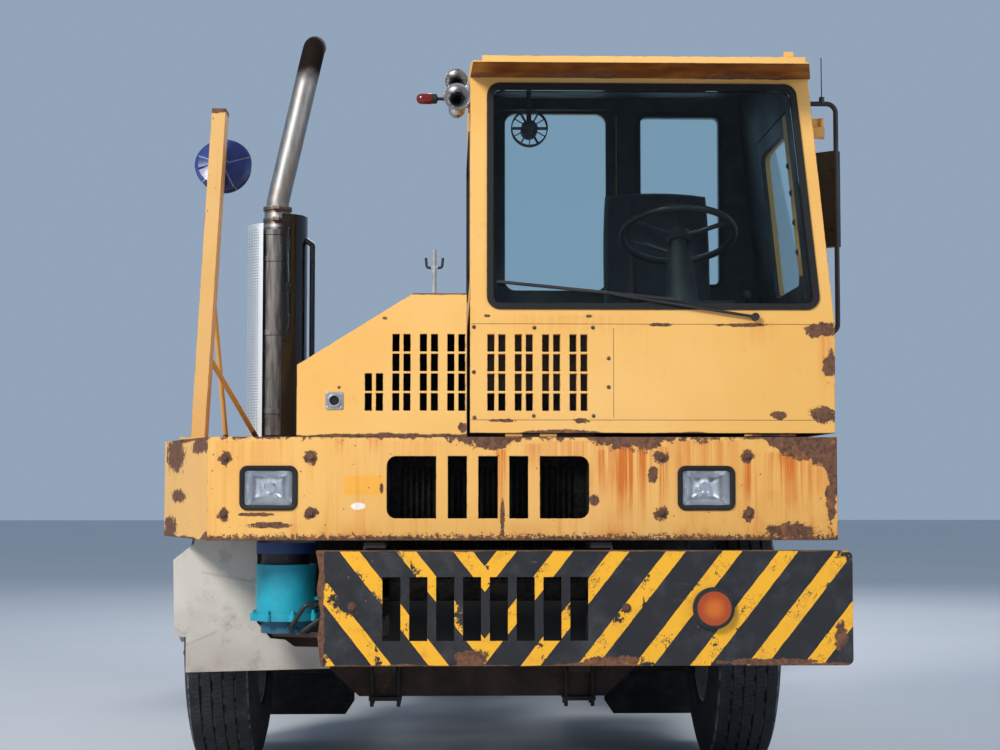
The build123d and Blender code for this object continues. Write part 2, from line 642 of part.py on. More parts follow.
def make_springs():
    bottom = BEAM_HIGH + 14 + SEAT_GAP
    main_z = bottom + LEAF_T * (len(LEAVES) - 1)
    rise = SPRING_EYE_Z - main_z
    arc_r = (LEAVES[0] ** 2 + rise ** 2) / (2 * rise)
    pack = None
    for count, half in enumerate(LEAVES):
        outer_r = arc_r + count * LEAF_T
        inner_r = outer_r - LEAF_T
        centre = (FRONT_AXLE_Y, main_z + arc_r)
        angle = math.degrees(math.asin(half / outer_r))
        turn = 270.0 - angle
        outer = CenterArc(centre, outer_r, turn, 2 * angle)
        inner = CenterArc(centre, inner_r, turn, 2 * angle)
        ends = [Line(outer @ 0, inner @ 0), Line(outer @ 1, inner @ 1)]
        leaf = along_x(make_face([outer, inner] + ends), SPRING_X - SPRING_W / 2, SPRING_X + SPRING_W / 2)
        pack = leaf if pack is None else pack + leaf
    # Hangers under the rail at both ends
    solids = [pack]
    for end in (-1, 1):
        y = FRONT_AXLE_Y + end * (LEAVES[0] + 18.0)
        hanger = block((SPRING_X - 34, SPRING_X + 34), (y - 28, y + 28),
                       (SPRING_EYE_Z - 30, RAIL_BOTTOM - SEAT_GAP))
        solids.append(hanger)
    spring = solids[0] + [solids[1], solids[2]]
    # Clamp bolts round the pack and the axle, with their two plates
    top = main_z + LEAF_T
    for x in (SPRING_X - 54, SPRING_X + 54):
        for y in (FRONT_AXLE_Y - 60, FRONT_AXLE_Y + 60):
            spring += bar((x, y, BEAM_LOW - 40), (x, y, top + 26), 8.0)
    spring += block((SPRING_X - 66, SPRING_X + 66), (FRONT_AXLE_Y - 75, FRONT_AXLE_Y + 75),
                    (top - 2, top + 14))
    spring += block((SPRING_X - 66, SPRING_X + 66), (FRONT_AXLE_Y - 75, FRONT_AXLE_Y + 75),
                    (BEAM_LOW - SEAT_GAP - 16, BEAM_LOW - SEAT_GAP))
    return [spring, other_side(spring)]


pieces["leaf_springs"] = make_springs()


# Knuckles: yoke, kingpin, spindle and steering arm
STEER_ARM = 220.0
STEER_ARM_Z = 345.0
TIE_ROD_R = 17.0
TIE_PIN_R = 11.0


def make_knuckle():
    centre = Vector(KINGPIN_X, FRONT_AXLE_Y, AXLE_Z)
    half = AXLE_EYE_H / 2 + 5.0
    knuckle = Pos(*centre) * Cylinder(KINGPIN_R, 2 * half + 70)
    for side in (-1, 1):
        z = AXLE_Z + side * (half + 17.0)
        knuckle += Pos(KINGPIN_X, FRONT_AXLE_Y, z) * Cylinder(42.0, 34.0)
        knuckle += block((KINGPIN_X, KINGPIN_X + 95), (FRONT_AXLE_Y - 38, FRONT_AXLE_Y + 38),
                         (z - 17, z + 17))
    knuckle += block((KINGPIN_X + 55, KINGPIN_X + 95), (FRONT_AXLE_Y - 45, FRONT_AXLE_Y + 45),
                     (AXLE_Z - half - 34, AXLE_Z + half + 34))
    knuckle += bar((KINGPIN_X + 60, FRONT_AXLE_Y, AXLE_Z),
                   (FRONT_WHEEL_X + FRONT_DISC_OUT, FRONT_AXLE_Y, AXLE_Z),
                   HUB_BORE_R)
    # Arm that runs back and down to the tie rod
    arm_top = AXLE_Z - half - 34.0
    knuckle += block((KINGPIN_X - 24, KINGPIN_X + 24), (FRONT_AXLE_Y, FRONT_AXLE_Y + STEER_ARM),
                     (arm_top, arm_top + 26.0))
    knuckle += Pos(KINGPIN_X, FRONT_AXLE_Y + STEER_ARM, arm_top + 13.0) * Cylinder(26.0, 26.0)
    pin_height = arm_top + 13.0 - (STEER_ARM_Z - 24.0)
    knuckle += Pos(KINGPIN_X, FRONT_AXLE_Y + STEER_ARM, arm_top + 13.0 - pin_height / 2) * Cylinder(
        TIE_PIN_R, pin_height)
    return knuckle


pieces["knuckle_left"] = [make_knuckle()]
pieces["knuckle_right"] = [other_side(pieces["knuckle_left"][0])]


# Tie rod behind the axle, between the two steering arms
def make_tie_rod():
    y = FRONT_AXLE_Y + STEER_ARM
    rod = bar((-KINGPIN_X + 26, y, STEER_ARM_Z), (KINGPIN_X - 26, y, STEER_ARM_Z), TIE_ROD_R)
    for side in (-1, 1):
        rod += Pos(side * KINGPIN_X, y, STEER_ARM_Z) * Cylinder(30.0, 38.0)
        rod -= Pos(side * KINGPIN_X, y, STEER_ARM_Z) * Cylinder(TIE_PIN_R + PIN_GAP, 60.0)
    return rod


pieces["tie_rod"] = [make_tie_rod()]


# Tyre, rim, disc, drum and hub, each turned round its own axle line
def tyre_at(x):
    half = TYRE_W / 2
    profile = [
        (-half + 30, RIM_R + BEAD_RISE), (-half + 6, RIM_R + 60), (-half, RIM_R + 110),
               (-half + 8, TYRE_R - 60),
        (-half + 26, TYRE_R - 16), (-half + 44, TYRE_R), (half - 44, TYRE_R), (half - 26, TYRE_R - 16),
        (half - 8, TYRE_R - 60), (half, RIM_R + 110), (half - 6, RIM_R + 60), (half - 30, RIM_R + BEAD_RISE),
    ]
    return Pos(x, 0, 0) * turned(profile)


def barrel_at(x):
    half = RIM_W / 2
    profile = [
        (-half, RIM_R + 14), (-half + 12, RIM_R - 4), (-50, RIM_R - 24), (50, RIM_R - 24),
               (half - 12, RIM_R - 4),
        (half, RIM_R + 14), (half, RIM_R - 2), (56, RIM_R - 34), (-56, RIM_R - 34), (-half, RIM_R - 2),
    ]
    return Pos(x, 0, 0) * turned(profile)


def with_hand_holes(wheel, x, radius):
    """Ring of round hand holes through a disc."""
    for count in range(HAND_HOLES):
        angle = 360.0 / HAND_HOLES * count
        drill = Rot(angle, 0, 0) * Pos(x, 0, radius) * Rot(0, 90, 0) * Cylinder(27.0, 90.0)
        wheel -= drill
    return wheel


def make_front_wheel():
    face = FRONT_DISC_OUT
    disc = turned([(42, RIM_R - 31), (58, RIM_R - 31), (face - 14, 214), (face, 196), (face, 70),
                   (face - 13, 70),
                   (face - 13, 190), (face - 24, 204)])
    wheel = barrel_at(0.0) + with_hand_holes(disc, 96.0, 233.0)
    bore = HUB_BORE_R + PIN_GAP
    wheel += turned([(-18, bore), (-18, 66), (face - 30, 75), (face + 12, 75), (face + 14, 54),
                     (face + 56, 50),
                     (face + 62, 40), (face + 62, 0), (face + 8, 0), (face + 8, bore)])
    wheel += turned([(-84, DRUM_R - DRUM_WALL), (-84, DRUM_R), (88, DRUM_R), (88, 70), (74, 70),
                     (74, DRUM_R - DRUM_WALL)])
    return wheel


def make_rear_wheels():
    half = DUAL_SPACING / 2
    wheels = barrel_at(half) + barrel_at(-half)
    disc = turned([(half - 56, RIM_R - 31), (half - 42, RIM_R - 31), (24, 214), (13, 200), (13, 90), (0, 90),
                   (0, 196), (10, 214)])
    wheels += with_hand_holes(disc, 70.0, 233.0)
    wheels += mirror(disc, Plane.YZ)
    bore = REAR_SPINDLE_R + PIN_GAP
    wheels += turned([(-70, bore), (-70, 100), (30, 100), (44, 88), (150, 80), (150, 92), (166, 92),
                      (172, 60),
                      (172, 0), (128, 0), (128, bore)])
    wheels += turned([(-215, DRUM_R - DRUM_WALL), (-215, DRUM_R), (-25, DRUM_R), (-25, 95), (-40, 95),
                      (-40, DRUM_R - DRUM_WALL)])
    return wheels


front_rim = Pos(FRONT_WHEEL_X, FRONT_AXLE_Y, AXLE_Z) * make_front_wheel()
front_tyre = Pos(FRONT_WHEEL_X, FRONT_AXLE_Y, AXLE_Z) * tyre_at(0.0)
rear_rims = Pos(DUAL_X, REAR_AXLE_Y, AXLE_Z) * make_rear_wheels()
rear_tyres = [Pos(DUAL_X, REAR_AXLE_Y, AXLE_Z) * tyre_at(side * DUAL_SPACING / 2) for side in (-1, 1)]
pieces["front_wheel_left"] = [front_rim]
pieces["front_wheel_right"] = [other_side(front_rim)]
pieces["front_tyre_left"] = [front_tyre]
pieces["front_tyre_right"] = [other_side(front_tyre)]
pieces["rear_wheels_left"] = [rear_rims]
pieces["rear_wheels_right"] = [other_side(rear_rims)]
pieces["rear_tyres_left"] = rear_tyres
pieces["rear_tyres_right"] = [other_side(tyre) for tyre in rear_tyres]


# Rear axle, bolted straight to the rails
def make_rear_axle():
    y = REAR_AXLE_Y
    axle = bar((-720, y, AXLE_Z), (720, y, AXLE_Z), 68.0)
    axle += bar((-(DUAL_X + 122), y, AXLE_Z), (DUAL_X + 122, y, AXLE_Z), REAR_SPINDLE_R)
    axle += bar((0, y - 110, AXLE_Z), (0, y + 90, AXLE_Z), 190.0)
    axle += bar((0, y + 80, AXLE_Z), (0, y + 130, AXLE_Z), 140.0)
    axle += bar((0, y - 260, AXLE_Z + 20), (0, y - 100, AXLE_Z + 20), 95.0)
    for side in (-1, 1):
        x = side * SPRING_X
        axle += block((x - 38, x + 38), (y - 95, y + 95), (AXLE_Z + 30, RAIL_BOTTOM - SEAT_GAP))
        near = side * (DUAL_X - 225)
        axle += bar((near, y, AXLE_Z), (near - side * 12, y, AXLE_Z), 185.0)
    return [axle]


# Driveshaft from the gearbox to the axle's pinion
SHAFT_START = (0.0, GEARBOX_END_Y + SEAT_GAP, 610.0)
SHAFT_END = (0.0, REAR_AXLE_Y - 260 - SEAT_GAP, AXLE_Z + 20)


def make_driveshaft():
    start = Vector(*SHAFT_START)
    end = Vector(*SHAFT_END)
    along = (end - start).normalized()
    shaft = bar(start + along * 60, end - along * 60, 42.0)
    for tip, inward in ((start, 1), (end, -1)):
        flange = bar(tip, tip + Vector(0, inward * 22.0, 0), 62.0)
        joint = bar(tip + Vector(0, inward * 10.0, 0), tip + along * inward * 90, 34.0)
        shaft += flange + joint
    return [shaft]


pieces["rear_axle"] = make_rear_axle() + make_driveshaft()


# Splash shield and air dryer ahead of the right front wheel
SHIELD_Y = NOSE_Y + 450.0
SHIELD_TOP = DECK_TOP - SHEET - SEAT_GAP
SHIELD = [(-1106, 422), (-575, 435), (-575, 514), (-627, 514), (-706, 516), (-741, 541), (-795, 546),
          (-845, 606),
          (-846, SHIELD_TOP), (-1010, SHIELD_TOP), (-1079, 895), (-1155, 835), (-1149, 554), (-1106, 552)]
pieces["splash_shield"] = [along_y(outline(SHIELD), SHIELD_Y, SHIELD_Y + 4.0)]

DRYER_X = -722.0
DRYER_Y = NOSE_Y + 250.0
DRYER_R = 108.0
DRYER_LUGS = 8
DRYER_HOSES = [
    [(-700, DRYER_Y - 60, 608), (-700, DRYER_Y - 135, 600), (-640, DRYER_Y - 140, 690),
     (-560, DRYER_Y - 120, 690),
     (-RAIL_X - 6, DRYER_Y - 45, 700)],
    [(-680, DRYER_Y - 50, 600), (-665, DRYER_Y - 120, 585), (-590, DRYER_Y - 125, 640),
     (-530, DRYER_Y - 80, 640),
     (-RAIL_X - 6, DRYER_Y - 30, 660)],
]


def make_air_dryer():
    def level(z, radius, height):
        return Pos(DRYER_X, DRYER_Y, z + height / 2) * Cylinder(radius, height)

    canister = level(654.0, DRYER_R, 174.0) + level(827.0, DRYER_R - 22, 40.0) + level(866.0, DRYER_R - 2,
                                                                                       40.0)
    canister += level(628.0, DRYER_R + 8, 26.0) + level(584.0, DRYER_R - 20, 45.0)
    for count in range(DRYER_LUGS):
        angle = 2 * math.pi * count / DRYER_LUGS + 0.3
        x = DRYER_X + (DRYER_R + 8) * math.cos(angle)
        y = DRYER_Y + (DRYER_R + 8) * math.sin(angle)
        canister += Pos(x, y, 641) * Cylinder(13.0, 26.0) + Pos(x, y, 655) * Cylinder(6.0, 22.0)
    # Strap to the rail and the bracket below
    canister += block((DRYER_X, -RAIL_X - SEAT_GAP), (DRYER_Y - 35, DRYER_Y + 35), (700.0, 712.0))
    canister += block((-RAIL_X - 12, -RAIL_X - SEAT_GAP), (DRYER_Y - 60, DRYER_Y + 60), (640.0, 840.0))
    strap = outline([(DRYER_X - 110, 628), (DRYER_X - 95, 628), (DRYER_X - 40, 572),
                     (-RAIL_X - SEAT_GAP, 560),
                     (-RAIL_X - SEAT_GAP, 640), (-RAIL_X - 12, 640), (-RAIL_X - 12, 574), (DRYER_X - 36, 586),
                     (DRYER_X - 88, 638), (DRYER_X - 110, 638)])
    canister += along_y(strap, DRYER_Y - 40, DRYER_Y + 40)
    # Air hoses from the foot to the rail
    for route in DRYER_HOSES:
        canister += pipe(route, 28.0, 8.0)
    return [canister]


pieces["air_dryer"] = make_air_dryer()


# Mirror mast on the deck's right edge, with two braces
MAST_Y = NOSE_Y + 485.0
MAST_FOOT = (-1068.0, DECK_TOP + SEAT_GAP)
MAST_TIP = (-1000.0, 2520.0)
MAST_SIZE = (52.0, 100.0)


def make_mast():
    half = MAST_SIZE[0] / 2
    foot_x, foot_z = MAST_FOOT
    tip_x, tip_z = MAST_TIP
    face = outline([(foot_x - half, foot_z), (foot_x + half, foot_z), (tip_x + half, tip_z),
                    (tip_x - half, tip_z)])
    mast = along_y(face, MAST_Y - MAST_SIZE[1] / 2, MAST_Y + MAST_SIZE[1] / 2)
    mast += block((foot_x - 60, foot_x + 60), (MAST_Y - 90, MAST_Y + 90), (foot_z, foot_z + 10))
    mast += bar((foot_x + 35, MAST_Y + 30, 1905.0), (-1010.0, MAST_Y + 350, foot_z + 12), 10.0)
    mast += bar((foot_x + 25, MAST_Y + 30, 1600.0), (-885.0, MAST_Y + 330, foot_z + 12), 10.0)
    mast += Pos(-1010.0, MAST_Y + 350, foot_z + 5) * Box(70, 50, 10)
    mast += Pos(-885.0, MAST_Y + 330, foot_z + 5) * Box(70, 50, 10)
    return [mast]


pieces["mirror_mast"] = make_mast()

# Round mirror behind the mast, its ribbed back to the front
MAST_MIRROR = (-1001.0, MAST_Y + 112.0, 2333.0)
MAST_MIRROR_R = 108.0
MAST_MIRROR_RIBS = 4
MAST_MIRROR_TILT = 20.0


def make_mast_mirror():
    bowl = revolve(outline([(0, 0), (MAST_MIRROR_R, 0), (MAST_MIRROR_R, 9), (MAST_MIRROR_R - 14, 16),
                            (50, 24),
                            (0, 26)]), axis=Axis.Y)
    for count in range(MAST_MIRROR_RIBS):
        rib = block((20, MAST_MIRROR_R - 12), (8, 24), (-2, 2))
        bowl += Rot(0, 360.0 / MAST_MIRROR_RIBS * count + 15.0, 0) * rib
    x, y, z = MAST_MIRROR
    bowl = Pos(x, y, z) * Rot(180 - MAST_MIRROR_TILT, 0, 0) * bowl
    bowl += bar((x, y - 12, z), (x, MAST_Y + MAST_SIZE[1] / 2 + SEAT_GAP, z), 10.0)
    bowl += block((x - 22, x + 22), (MAST_Y + MAST_SIZE[1] / 2 + SEAT_GAP, MAST_Y + MAST_SIZE[1] / 2 + 8),
                  (z - 34, z + 34))
    return [bowl]


pieces["mast_mirror"] = make_mast_mirror()


# Upright exhaust on the deck's right rear corner
EXHAUST_X = -889.0
EXHAUST_Y = FRONT_AXLE_Y + 450.0
MUFFLER_R = 106.0
MUFFLER_Z = (DECK_TOP + SEAT_GAP, 2225.0)
MUFFLER_BANDS = [1420.0, 1760.0, 2080.0, 2196.0]
NECK_CLAMPS = [2262.0, 2312.0]
NECK_TOP = 2340.0
STACK_R = 49.0
STACK_TOP = (-738.0, 3070.0)
STACK_CURL = 125.0
PIPE_R = 40.0
PIPE_Z = 1150.0
DECK_HOLE_R = 58.0
GUARD_R = 131.0
GUARD_T = 4.0


def make_exhaust():
    low, high = MUFFLER_Z
    body = revolve(outline([(0, low), (90, low), (90, low + 30), (MUFFLER_R, low + 50),
                            (MUFFLER_R, high - 30),
                            (62, high), (56, NECK_TOP - 10), (0, NECK_TOP - 10)]), axis=Axis.Y)
    body = Plane(origin=(EXHAUST_X, EXHAUST_Y, 0), x_dir=(1, 0, 0), z_dir=(0, -1, 0)) * body
    for z in MUFFLER_BANDS:
        body += bar((EXHAUST_X, EXHAUST_Y, z), (EXHAUST_X, EXHAUST_Y, z + 22), MUFFLER_R + 4)
    for z in NECK_CLAMPS:
        body += bar((EXHAUST_X, EXHAUST_Y, z), (EXHAUST_X, EXHAUST_Y, z + 16), 63.0)
        body += block((EXHAUST_X - 14, EXHAUST_X + 14), (EXHAUST_Y - 82, EXHAUST_Y - 40), (z, z + 16))
    # Stack, leaning inwards and curled back at its open tip
    tip_x, tip_z = STACK_TOP
    knee = Vector(EXHAUST_X, EXHAUST_Y, NECK_TOP + 10)
    elbow = Vector(tip_x + 4, EXHAUST_Y, tip_z - 35)
    tip = Vector(tip_x, EXHAUST_Y + STACK_CURL, tip_z)
    body += pipe([(EXHAUST_X, EXHAUST_Y, NECK_TOP - 60), knee, elbow, tip], 62.0, STACK_R)
    back = (elbow - tip).normalized()
    body -= bar(tip + back * 70, tip - back * 10, STACK_R - 4)
    # Pipe from the turbocharger, up through the deck
    x, y, z = TURBO
    body += pipe([(x, y + 60 + SEAT_GAP, z), (x, y + 300, z), (EXHAUST_X, y + 300, PIPE_Z),
                  (EXHAUST_X, EXHAUST_Y, PIPE_Z), (EXHAUST_X, EXHAUST_Y, low + 20)], 75.0, PIPE_R)
    # Lugs that hold the guards
    for z in (low + 120, high - 90):
        body += block((EXHAUST_X - GUARD_R + GUARD_T + 1, EXHAUST_X + GUARD_R - GUARD_T - 1),
                      (EXHAUST_Y - 12, EXHAUST_Y + 12), (z, z + 30))
    return [body]


def make_guard(side, low, high):
    """Half of a round guard, on one side of the muffler."""
    height = high - low
    shell = Pos(EXHAUST_X, EXHAUST_Y, low + height / 2) * (
        Cylinder(GUARD_R, height) - Cylinder(GUARD_R - GUARD_T, height + 2))
    keep = (EXHAUST_X - 2 * GUARD_R, EXHAUST_X - 52.0) if side < 0 else (EXHAUST_X + 31.0,
                                                                         EXHAUST_X + 2 * GUARD_R)
    return shell & block(keep, (EXHAUST_Y - 2 * GUARD_R, EXHAUST_Y + 2 * GUARD_R), (low, high))


pieces["exhaust"] = make_exhaust()
pieces["exhaust_guard_perforated"] = [make_guard(-1, DECK_TOP + SEAT_GAP, 2243.0)]

# Black guard, with the grab tube that stands beside it
GRAB_X = EXHAUST_X + 155.0
GRAB_R = 12.0
GRAB_Y = EXHAUST_Y - 30.0
grab_tube = pipe([(EXHAUST_X + GUARD_R - 6, GRAB_Y, 2181), (GRAB_X, GRAB_Y, 2160), (GRAB_X, GRAB_Y, 1500),
                  (EXHAUST_X + GUARD_R - 6, GRAB_Y, 1470)], 16.0, GRAB_R)
pieces["exhaust_guard_black"] = [make_guard(1, DECK_TOP + SEAT_GAP, 2285.0) + grab_tube]

# Pole behind the hood that holds the trailer's hoses
PLATFORM_T = 24.7
PLATFORM_Z = (RAIL_TOP + SEAT_GAP, RAIL_TOP + SEAT_GAP + PLATFORM_T)
POLE_X = -204.0
POLE_Y = FRONT_AXLE_Y + 625.0
HOOK_Z = 2108.0


def make_hose_pole():
    foot = PLATFORM_Z[0] + PLATFORM_T + SEAT_GAP
    pole = bar((POLE_X, POLE_Y, foot), (POLE_X, POLE_Y, 2166.0), 9.0)
    pole += block((POLE_X - 40, POLE_X + 40), (POLE_Y - 40, POLE_Y + 40), (foot, foot + 10))
    for side in (-1, 1):
        pole += pipe([(POLE_X, POLE_Y, HOOK_Z - 22), (POLE_X + side * 34, POLE_Y, HOOK_Z - 22),
                      (POLE_X + side * 38, POLE_Y, HOOK_Z + 22)], 12.0, 6.0)
    pole += bar((POLE_X, POLE_Y, foot + 300), (POLE_X - 120, POLE_Y, foot + 7), 7.0)
    pole += bar((POLE_X, POLE_Y, foot + 300), (POLE_X, POLE_Y + 120, foot + 7), 7.0)
    return [pole]


# Platform behind the cab, narrow between the front tyres
PLATFORM_BREAK_Y = FRONT_AXLE_Y + 550.0
PLATFORM_END_Y = BOOM_PIVOT_Y - 270.0
PLATFORM = [(-600, PLATFORM_BREAK_Y - 380), (600, PLATFORM_BREAK_Y - 380), (600, PLATFORM_BREAK_Y),
            (1150, PLATFORM_BREAK_Y), (1150, PLATFORM_END_Y), (-950, PLATFORM_END_Y),
            (-950, PLATFORM_BREAK_Y),
            (-600, PLATFORM_BREAK_Y)]


def make_platform():
    plate = along_z(outline(PLATFORM), *PLATFORM_Z)
    plate -= block((-GEARBOX_X - 15, GEARBOX_X + 15), (FRONT_AXLE_Y, TRANSFER_Y[0] + 15), (800.0, 1300.0))
    plate -= block((-TRANSFER_X - 15, TRANSFER_X + 15), (FRONT_AXLE_Y, TRANSFER_Y[1] + 15), (800.0, 1300.0))
    arm_gap = RAIL_X + 8.0
    for side in (-1, 1):
        near = side * (RAIL_X - RAIL_FLANGE)
        far = side * arm_gap
        plate -= block((min(near, far), max(near, far)), (DECK_END_Y - 58, DECK_END_Y - 2), (800.0, 1300.0))
    return [plate]


# Steps on the left, below the platform
STEP_X = (1000.0, 1150.0)
STEP_Y = (PLATFORM_BREAK_Y + 60.0, PLATFORM_BREAK_Y + 420.0)
STEP_TREADS = (430.0, 670.0)


def make_steps():
    high = PLATFORM_Z[0] - SEAT_GAP
    steps = None
    for y in STEP_Y:
        side = block(STEP_X, (y - 5, y + 5), (400.0, high))
        steps = side if steps is None else steps + side
    for z in STEP_TREADS:
        steps += block(STEP_X, (STEP_Y[0] - 2, STEP_Y[1] + 2), (z, z + 25))
    return [steps]


pieces["rear_platform"] = make_platform() + make_steps()
pieces["hose_pole"] = make_hose_pole()

# Rubber flaps behind the front wheels, hung from the platform
FLAP_X = (553.0, 975.0)
FLAP_Y = PLATFORM_BREAK_Y + 92.0
FLAP_T = 8.0
FLAP_LOW = 105.0


def make_flap():
    left, right = FLAP_X
    high = PLATFORM_Z[0] - SEAT_GAP
    face = outline([(left + 40, FLAP_LOW), (right, FLAP_LOW), (right, high), (left, high),
                    (left, FLAP_LOW + 60)])
    flap = along_y(face, FLAP_Y, FLAP_Y + FLAP_T)
    flap += block((left, right), (FLAP_Y - 6, FLAP_Y + 1), (high - 60, high))
    return flap


pieces["mud_flaps"] = [make_flap(), other_side(make_flap())]


# Fuel tank on the left rail, battery box and air tanks on the right one
TANK_X = (RAIL_X + SEAT_GAP, 1010.0)
TANK_Y = (PLATFORM_END_Y + 40.0, PLATFORM_END_Y + 840.0)
TANK_Z = (430.0, 870.0)
BATTERY_X = (-920.0, -RAIL_X - SEAT_GAP)
BATTERY_Y = (PLATFORM_BREAK_Y + 125.0, PLATFORM_END_Y - 10.0)
BATTERY_Z = (560.0, 880.0)
AIR_TANK_R = 120.0
AIR_TANK_Y = (PLATFORM_END_Y + 60.0, PLATFORM_END_Y + 860.0)


def make_fuel_tank():
    face = rectangle((TANK_X[0] + 30, TANK_Z[0]), (TANK_X[1], TANK_Z[1]), 70.0)
    tank = along_y(face, *TANK_Y)
    for share in (0.2, 0.8):
        y = TANK_Y[0] + share * (TANK_Y[1] - TANK_Y[0])
        tank += block((TANK_X[0], TANK_X[0] + 40), (y - 40, y + 40), (TANK_Z[0] + 90, TANK_Z[1] - 10))
        tank += along_y(rectangle((TANK_X[0] + 27, TANK_Z[0] - 3), (TANK_X[1] + 3, TANK_Z[1] + 3), 72.0),
                        y - 25, y + 25)
    tank += Pos(TANK_X[1] - 120, TANK_Y[0] + 150, TANK_Z[1] + 12) * Cylinder(45.0, 30.0)
    return [tank]


def make_air_tanks():
    x = -RAIL_X - AIR_TANK_R - 25.0
    tanks = []
    for z in (520.0, 775.0):
        low, high = AIR_TANK_Y
        tank = bar((x, low + 20, z), (x, high - 20, z), AIR_TANK_R)
        tank += bar((x, low, z), (x, high, z), AIR_TANK_R - 30)
        for y in (low + 160, high - 160):
            reach = max(z - 20, RAIL_BOTTOM + 10)
            tank += block((x + 60, -RAIL_X - SEAT_GAP), (y - 30, y + 30), (min(z - 20, reach), reach + 30))
        tanks.append(tank)
    return tanks


pieces["fuel_tank"] = make_fuel_tank()


def make_battery_box():
    box = block(BATTERY_X, BATTERY_Y, BATTERY_Z)
    lid = block((BATTERY_X[0] - 8, BATTERY_X[1]), (BATTERY_Y[0] - 8, BATTERY_Y[1]),
                (BATTERY_Z[1] - 40, BATTERY_Z[1]))
    handle_y = (BATTERY_Y[0] + BATTERY_Y[1]) / 2
    handle = pipe([(BATTERY_X[0], handle_y - 60, 800), (BATTERY_X[0] - 28, handle_y - 60, 800),
                   (BATTERY_X[0] - 28, handle_y + 60, 800), (BATTERY_X[0], handle_y + 60, 800)], 10.0, 6.0)
    for z in (620.0, 700.0):
        box -= block((BATTERY_X[0] - 1, BATTERY_X[0] + 6), (BATTERY_Y[0] + 40, BATTERY_Y[1] - 40),
                     (z, z + 30))
    return [box + lid + handle]


pieces["battery_box"] = make_battery_box()
pieces["air_tanks"] = make_air_tanks()

# Tail lamps on the rear crossmember
TAIL_LAMPS = [-370.0, -250.0, 250.0, 370.0]
TAIL_LAMP_Z = 790.0
TAIL_LAMP_R = 50.0
pieces["marker_lamps"] = [marker_lamp] + [
    bar((x, TAIL_Y + SEAT_GAP, TAIL_LAMP_Z), (x, TAIL_Y + 26.0, TAIL_LAMP_Z), TAIL_LAMP_R) for x in TAIL_LAMPS
]


# Boom: two arms on the pivot shaft, joined across
BOOM_END_Y = PLATE_Y + 180.0
BOOM_TUBES = [(BOOM_PIVOT_Y + 260.0, 38.0), (PLATE_Y - 260.0, 38.0), (PLATE_Y + 130.0, 30.0)]


def make_boom():
    low, high = BOOM_ARM_Z
    middle = (low + high) / 2
    near, far = BOOM_ARM_X
    nose = BOOM_PIVOT_Y - 60.0
    face = outline([(nose, BOOM_PIVOT_Z - 30), (nose, BOOM_PIVOT_Z + 30), (nose + 40, BOOM_PIVOT_Z + 58),
                    (BOOM_PIVOT_Y + 160, high), (BOOM_END_Y - 40, high), (BOOM_END_Y, high - 40),
                    (BOOM_END_Y, low + 50),
                    (BOOM_END_Y - 60, low), (BOOM_PIVOT_Y + 120, low), (nose + 40, BOOM_PIVOT_Z - 58)])
    arm = along_x(face, near, far)
    post = outline([(PLATE_Y - 75, high - 5), (PLATE_Y + 75, high - 5), (PLATE_Y + 30, PLATE_AXIS_Z + 8),
                    (PLATE_Y + 12, PLATE_AXIS_Z + 32), (PLATE_Y - 12, PLATE_AXIS_Z + 32),
                    (PLATE_Y - 30, PLATE_AXIS_Z + 8)])
    arm += along_x(post, near, far)
    arm += bar((far - 10, PLATE_Y, PLATE_AXIS_Z), (far + 55, PLATE_Y, PLATE_AXIS_Z), 22.0)
    boom = arm + other_side(arm)
    for y, radius in BOOM_TUBES:
        boom += bar((-near - 5, y, middle), (near + 5, y, middle), radius)
    # Cross plate with lugs and pins for the lift cylinders
    eye_y, eye_z = LIFT_EYE
    boom += block((-near - 5, near + 5), (eye_y - 60, eye_y + 60), (high - 45, high - 10))
    for x in (-LIFT_X, LIFT_X):
        for side in (-1, 1):
            low_x = min(x + side * 36, x + side * 50)
            lug = outline([(eye_y - 50, high - 30), (eye_y - 26, eye_z - 14), (eye_y - 14, eye_z - 28),
                           (eye_y + 14, eye_z - 28), (eye_y + 26, eye_z - 14), (eye_y + 50, high - 30)])
            boom += along_x(lug, low_x, low_x + 14)
        boom += bar((x - 48, eye_y, eye_z), (x + 48, eye_y, eye_z), LIFT_PIN_R)
    boom -= bar((-RAIL_X, BOOM_PIVOT_Y, BOOM_PIVOT_Z), (RAIL_X, BOOM_PIVOT_Y, BOOM_PIVOT_Z),
                BOOM_SHAFT_R + PIN_GAP)
    return [boom]


pieces["boom"] = make_boom()


# Lift cylinders, one beside each arm
LIFT_BARREL_R = 44.0
LIFT_ROD_R = 24.0
LIFT_BARREL_END = 470.0
LIFT_BORE_START = 190.0
LIFT_ROD_START = 200.0


def lift_point(x, along):
    """Point on a lift cylinder's line at a distance from its lower pin."""
    base = Vector(x, *LIFT_BASE)
    eye = Vector(x, *LIFT_EYE)
    return base + (eye - base).normalized() * along


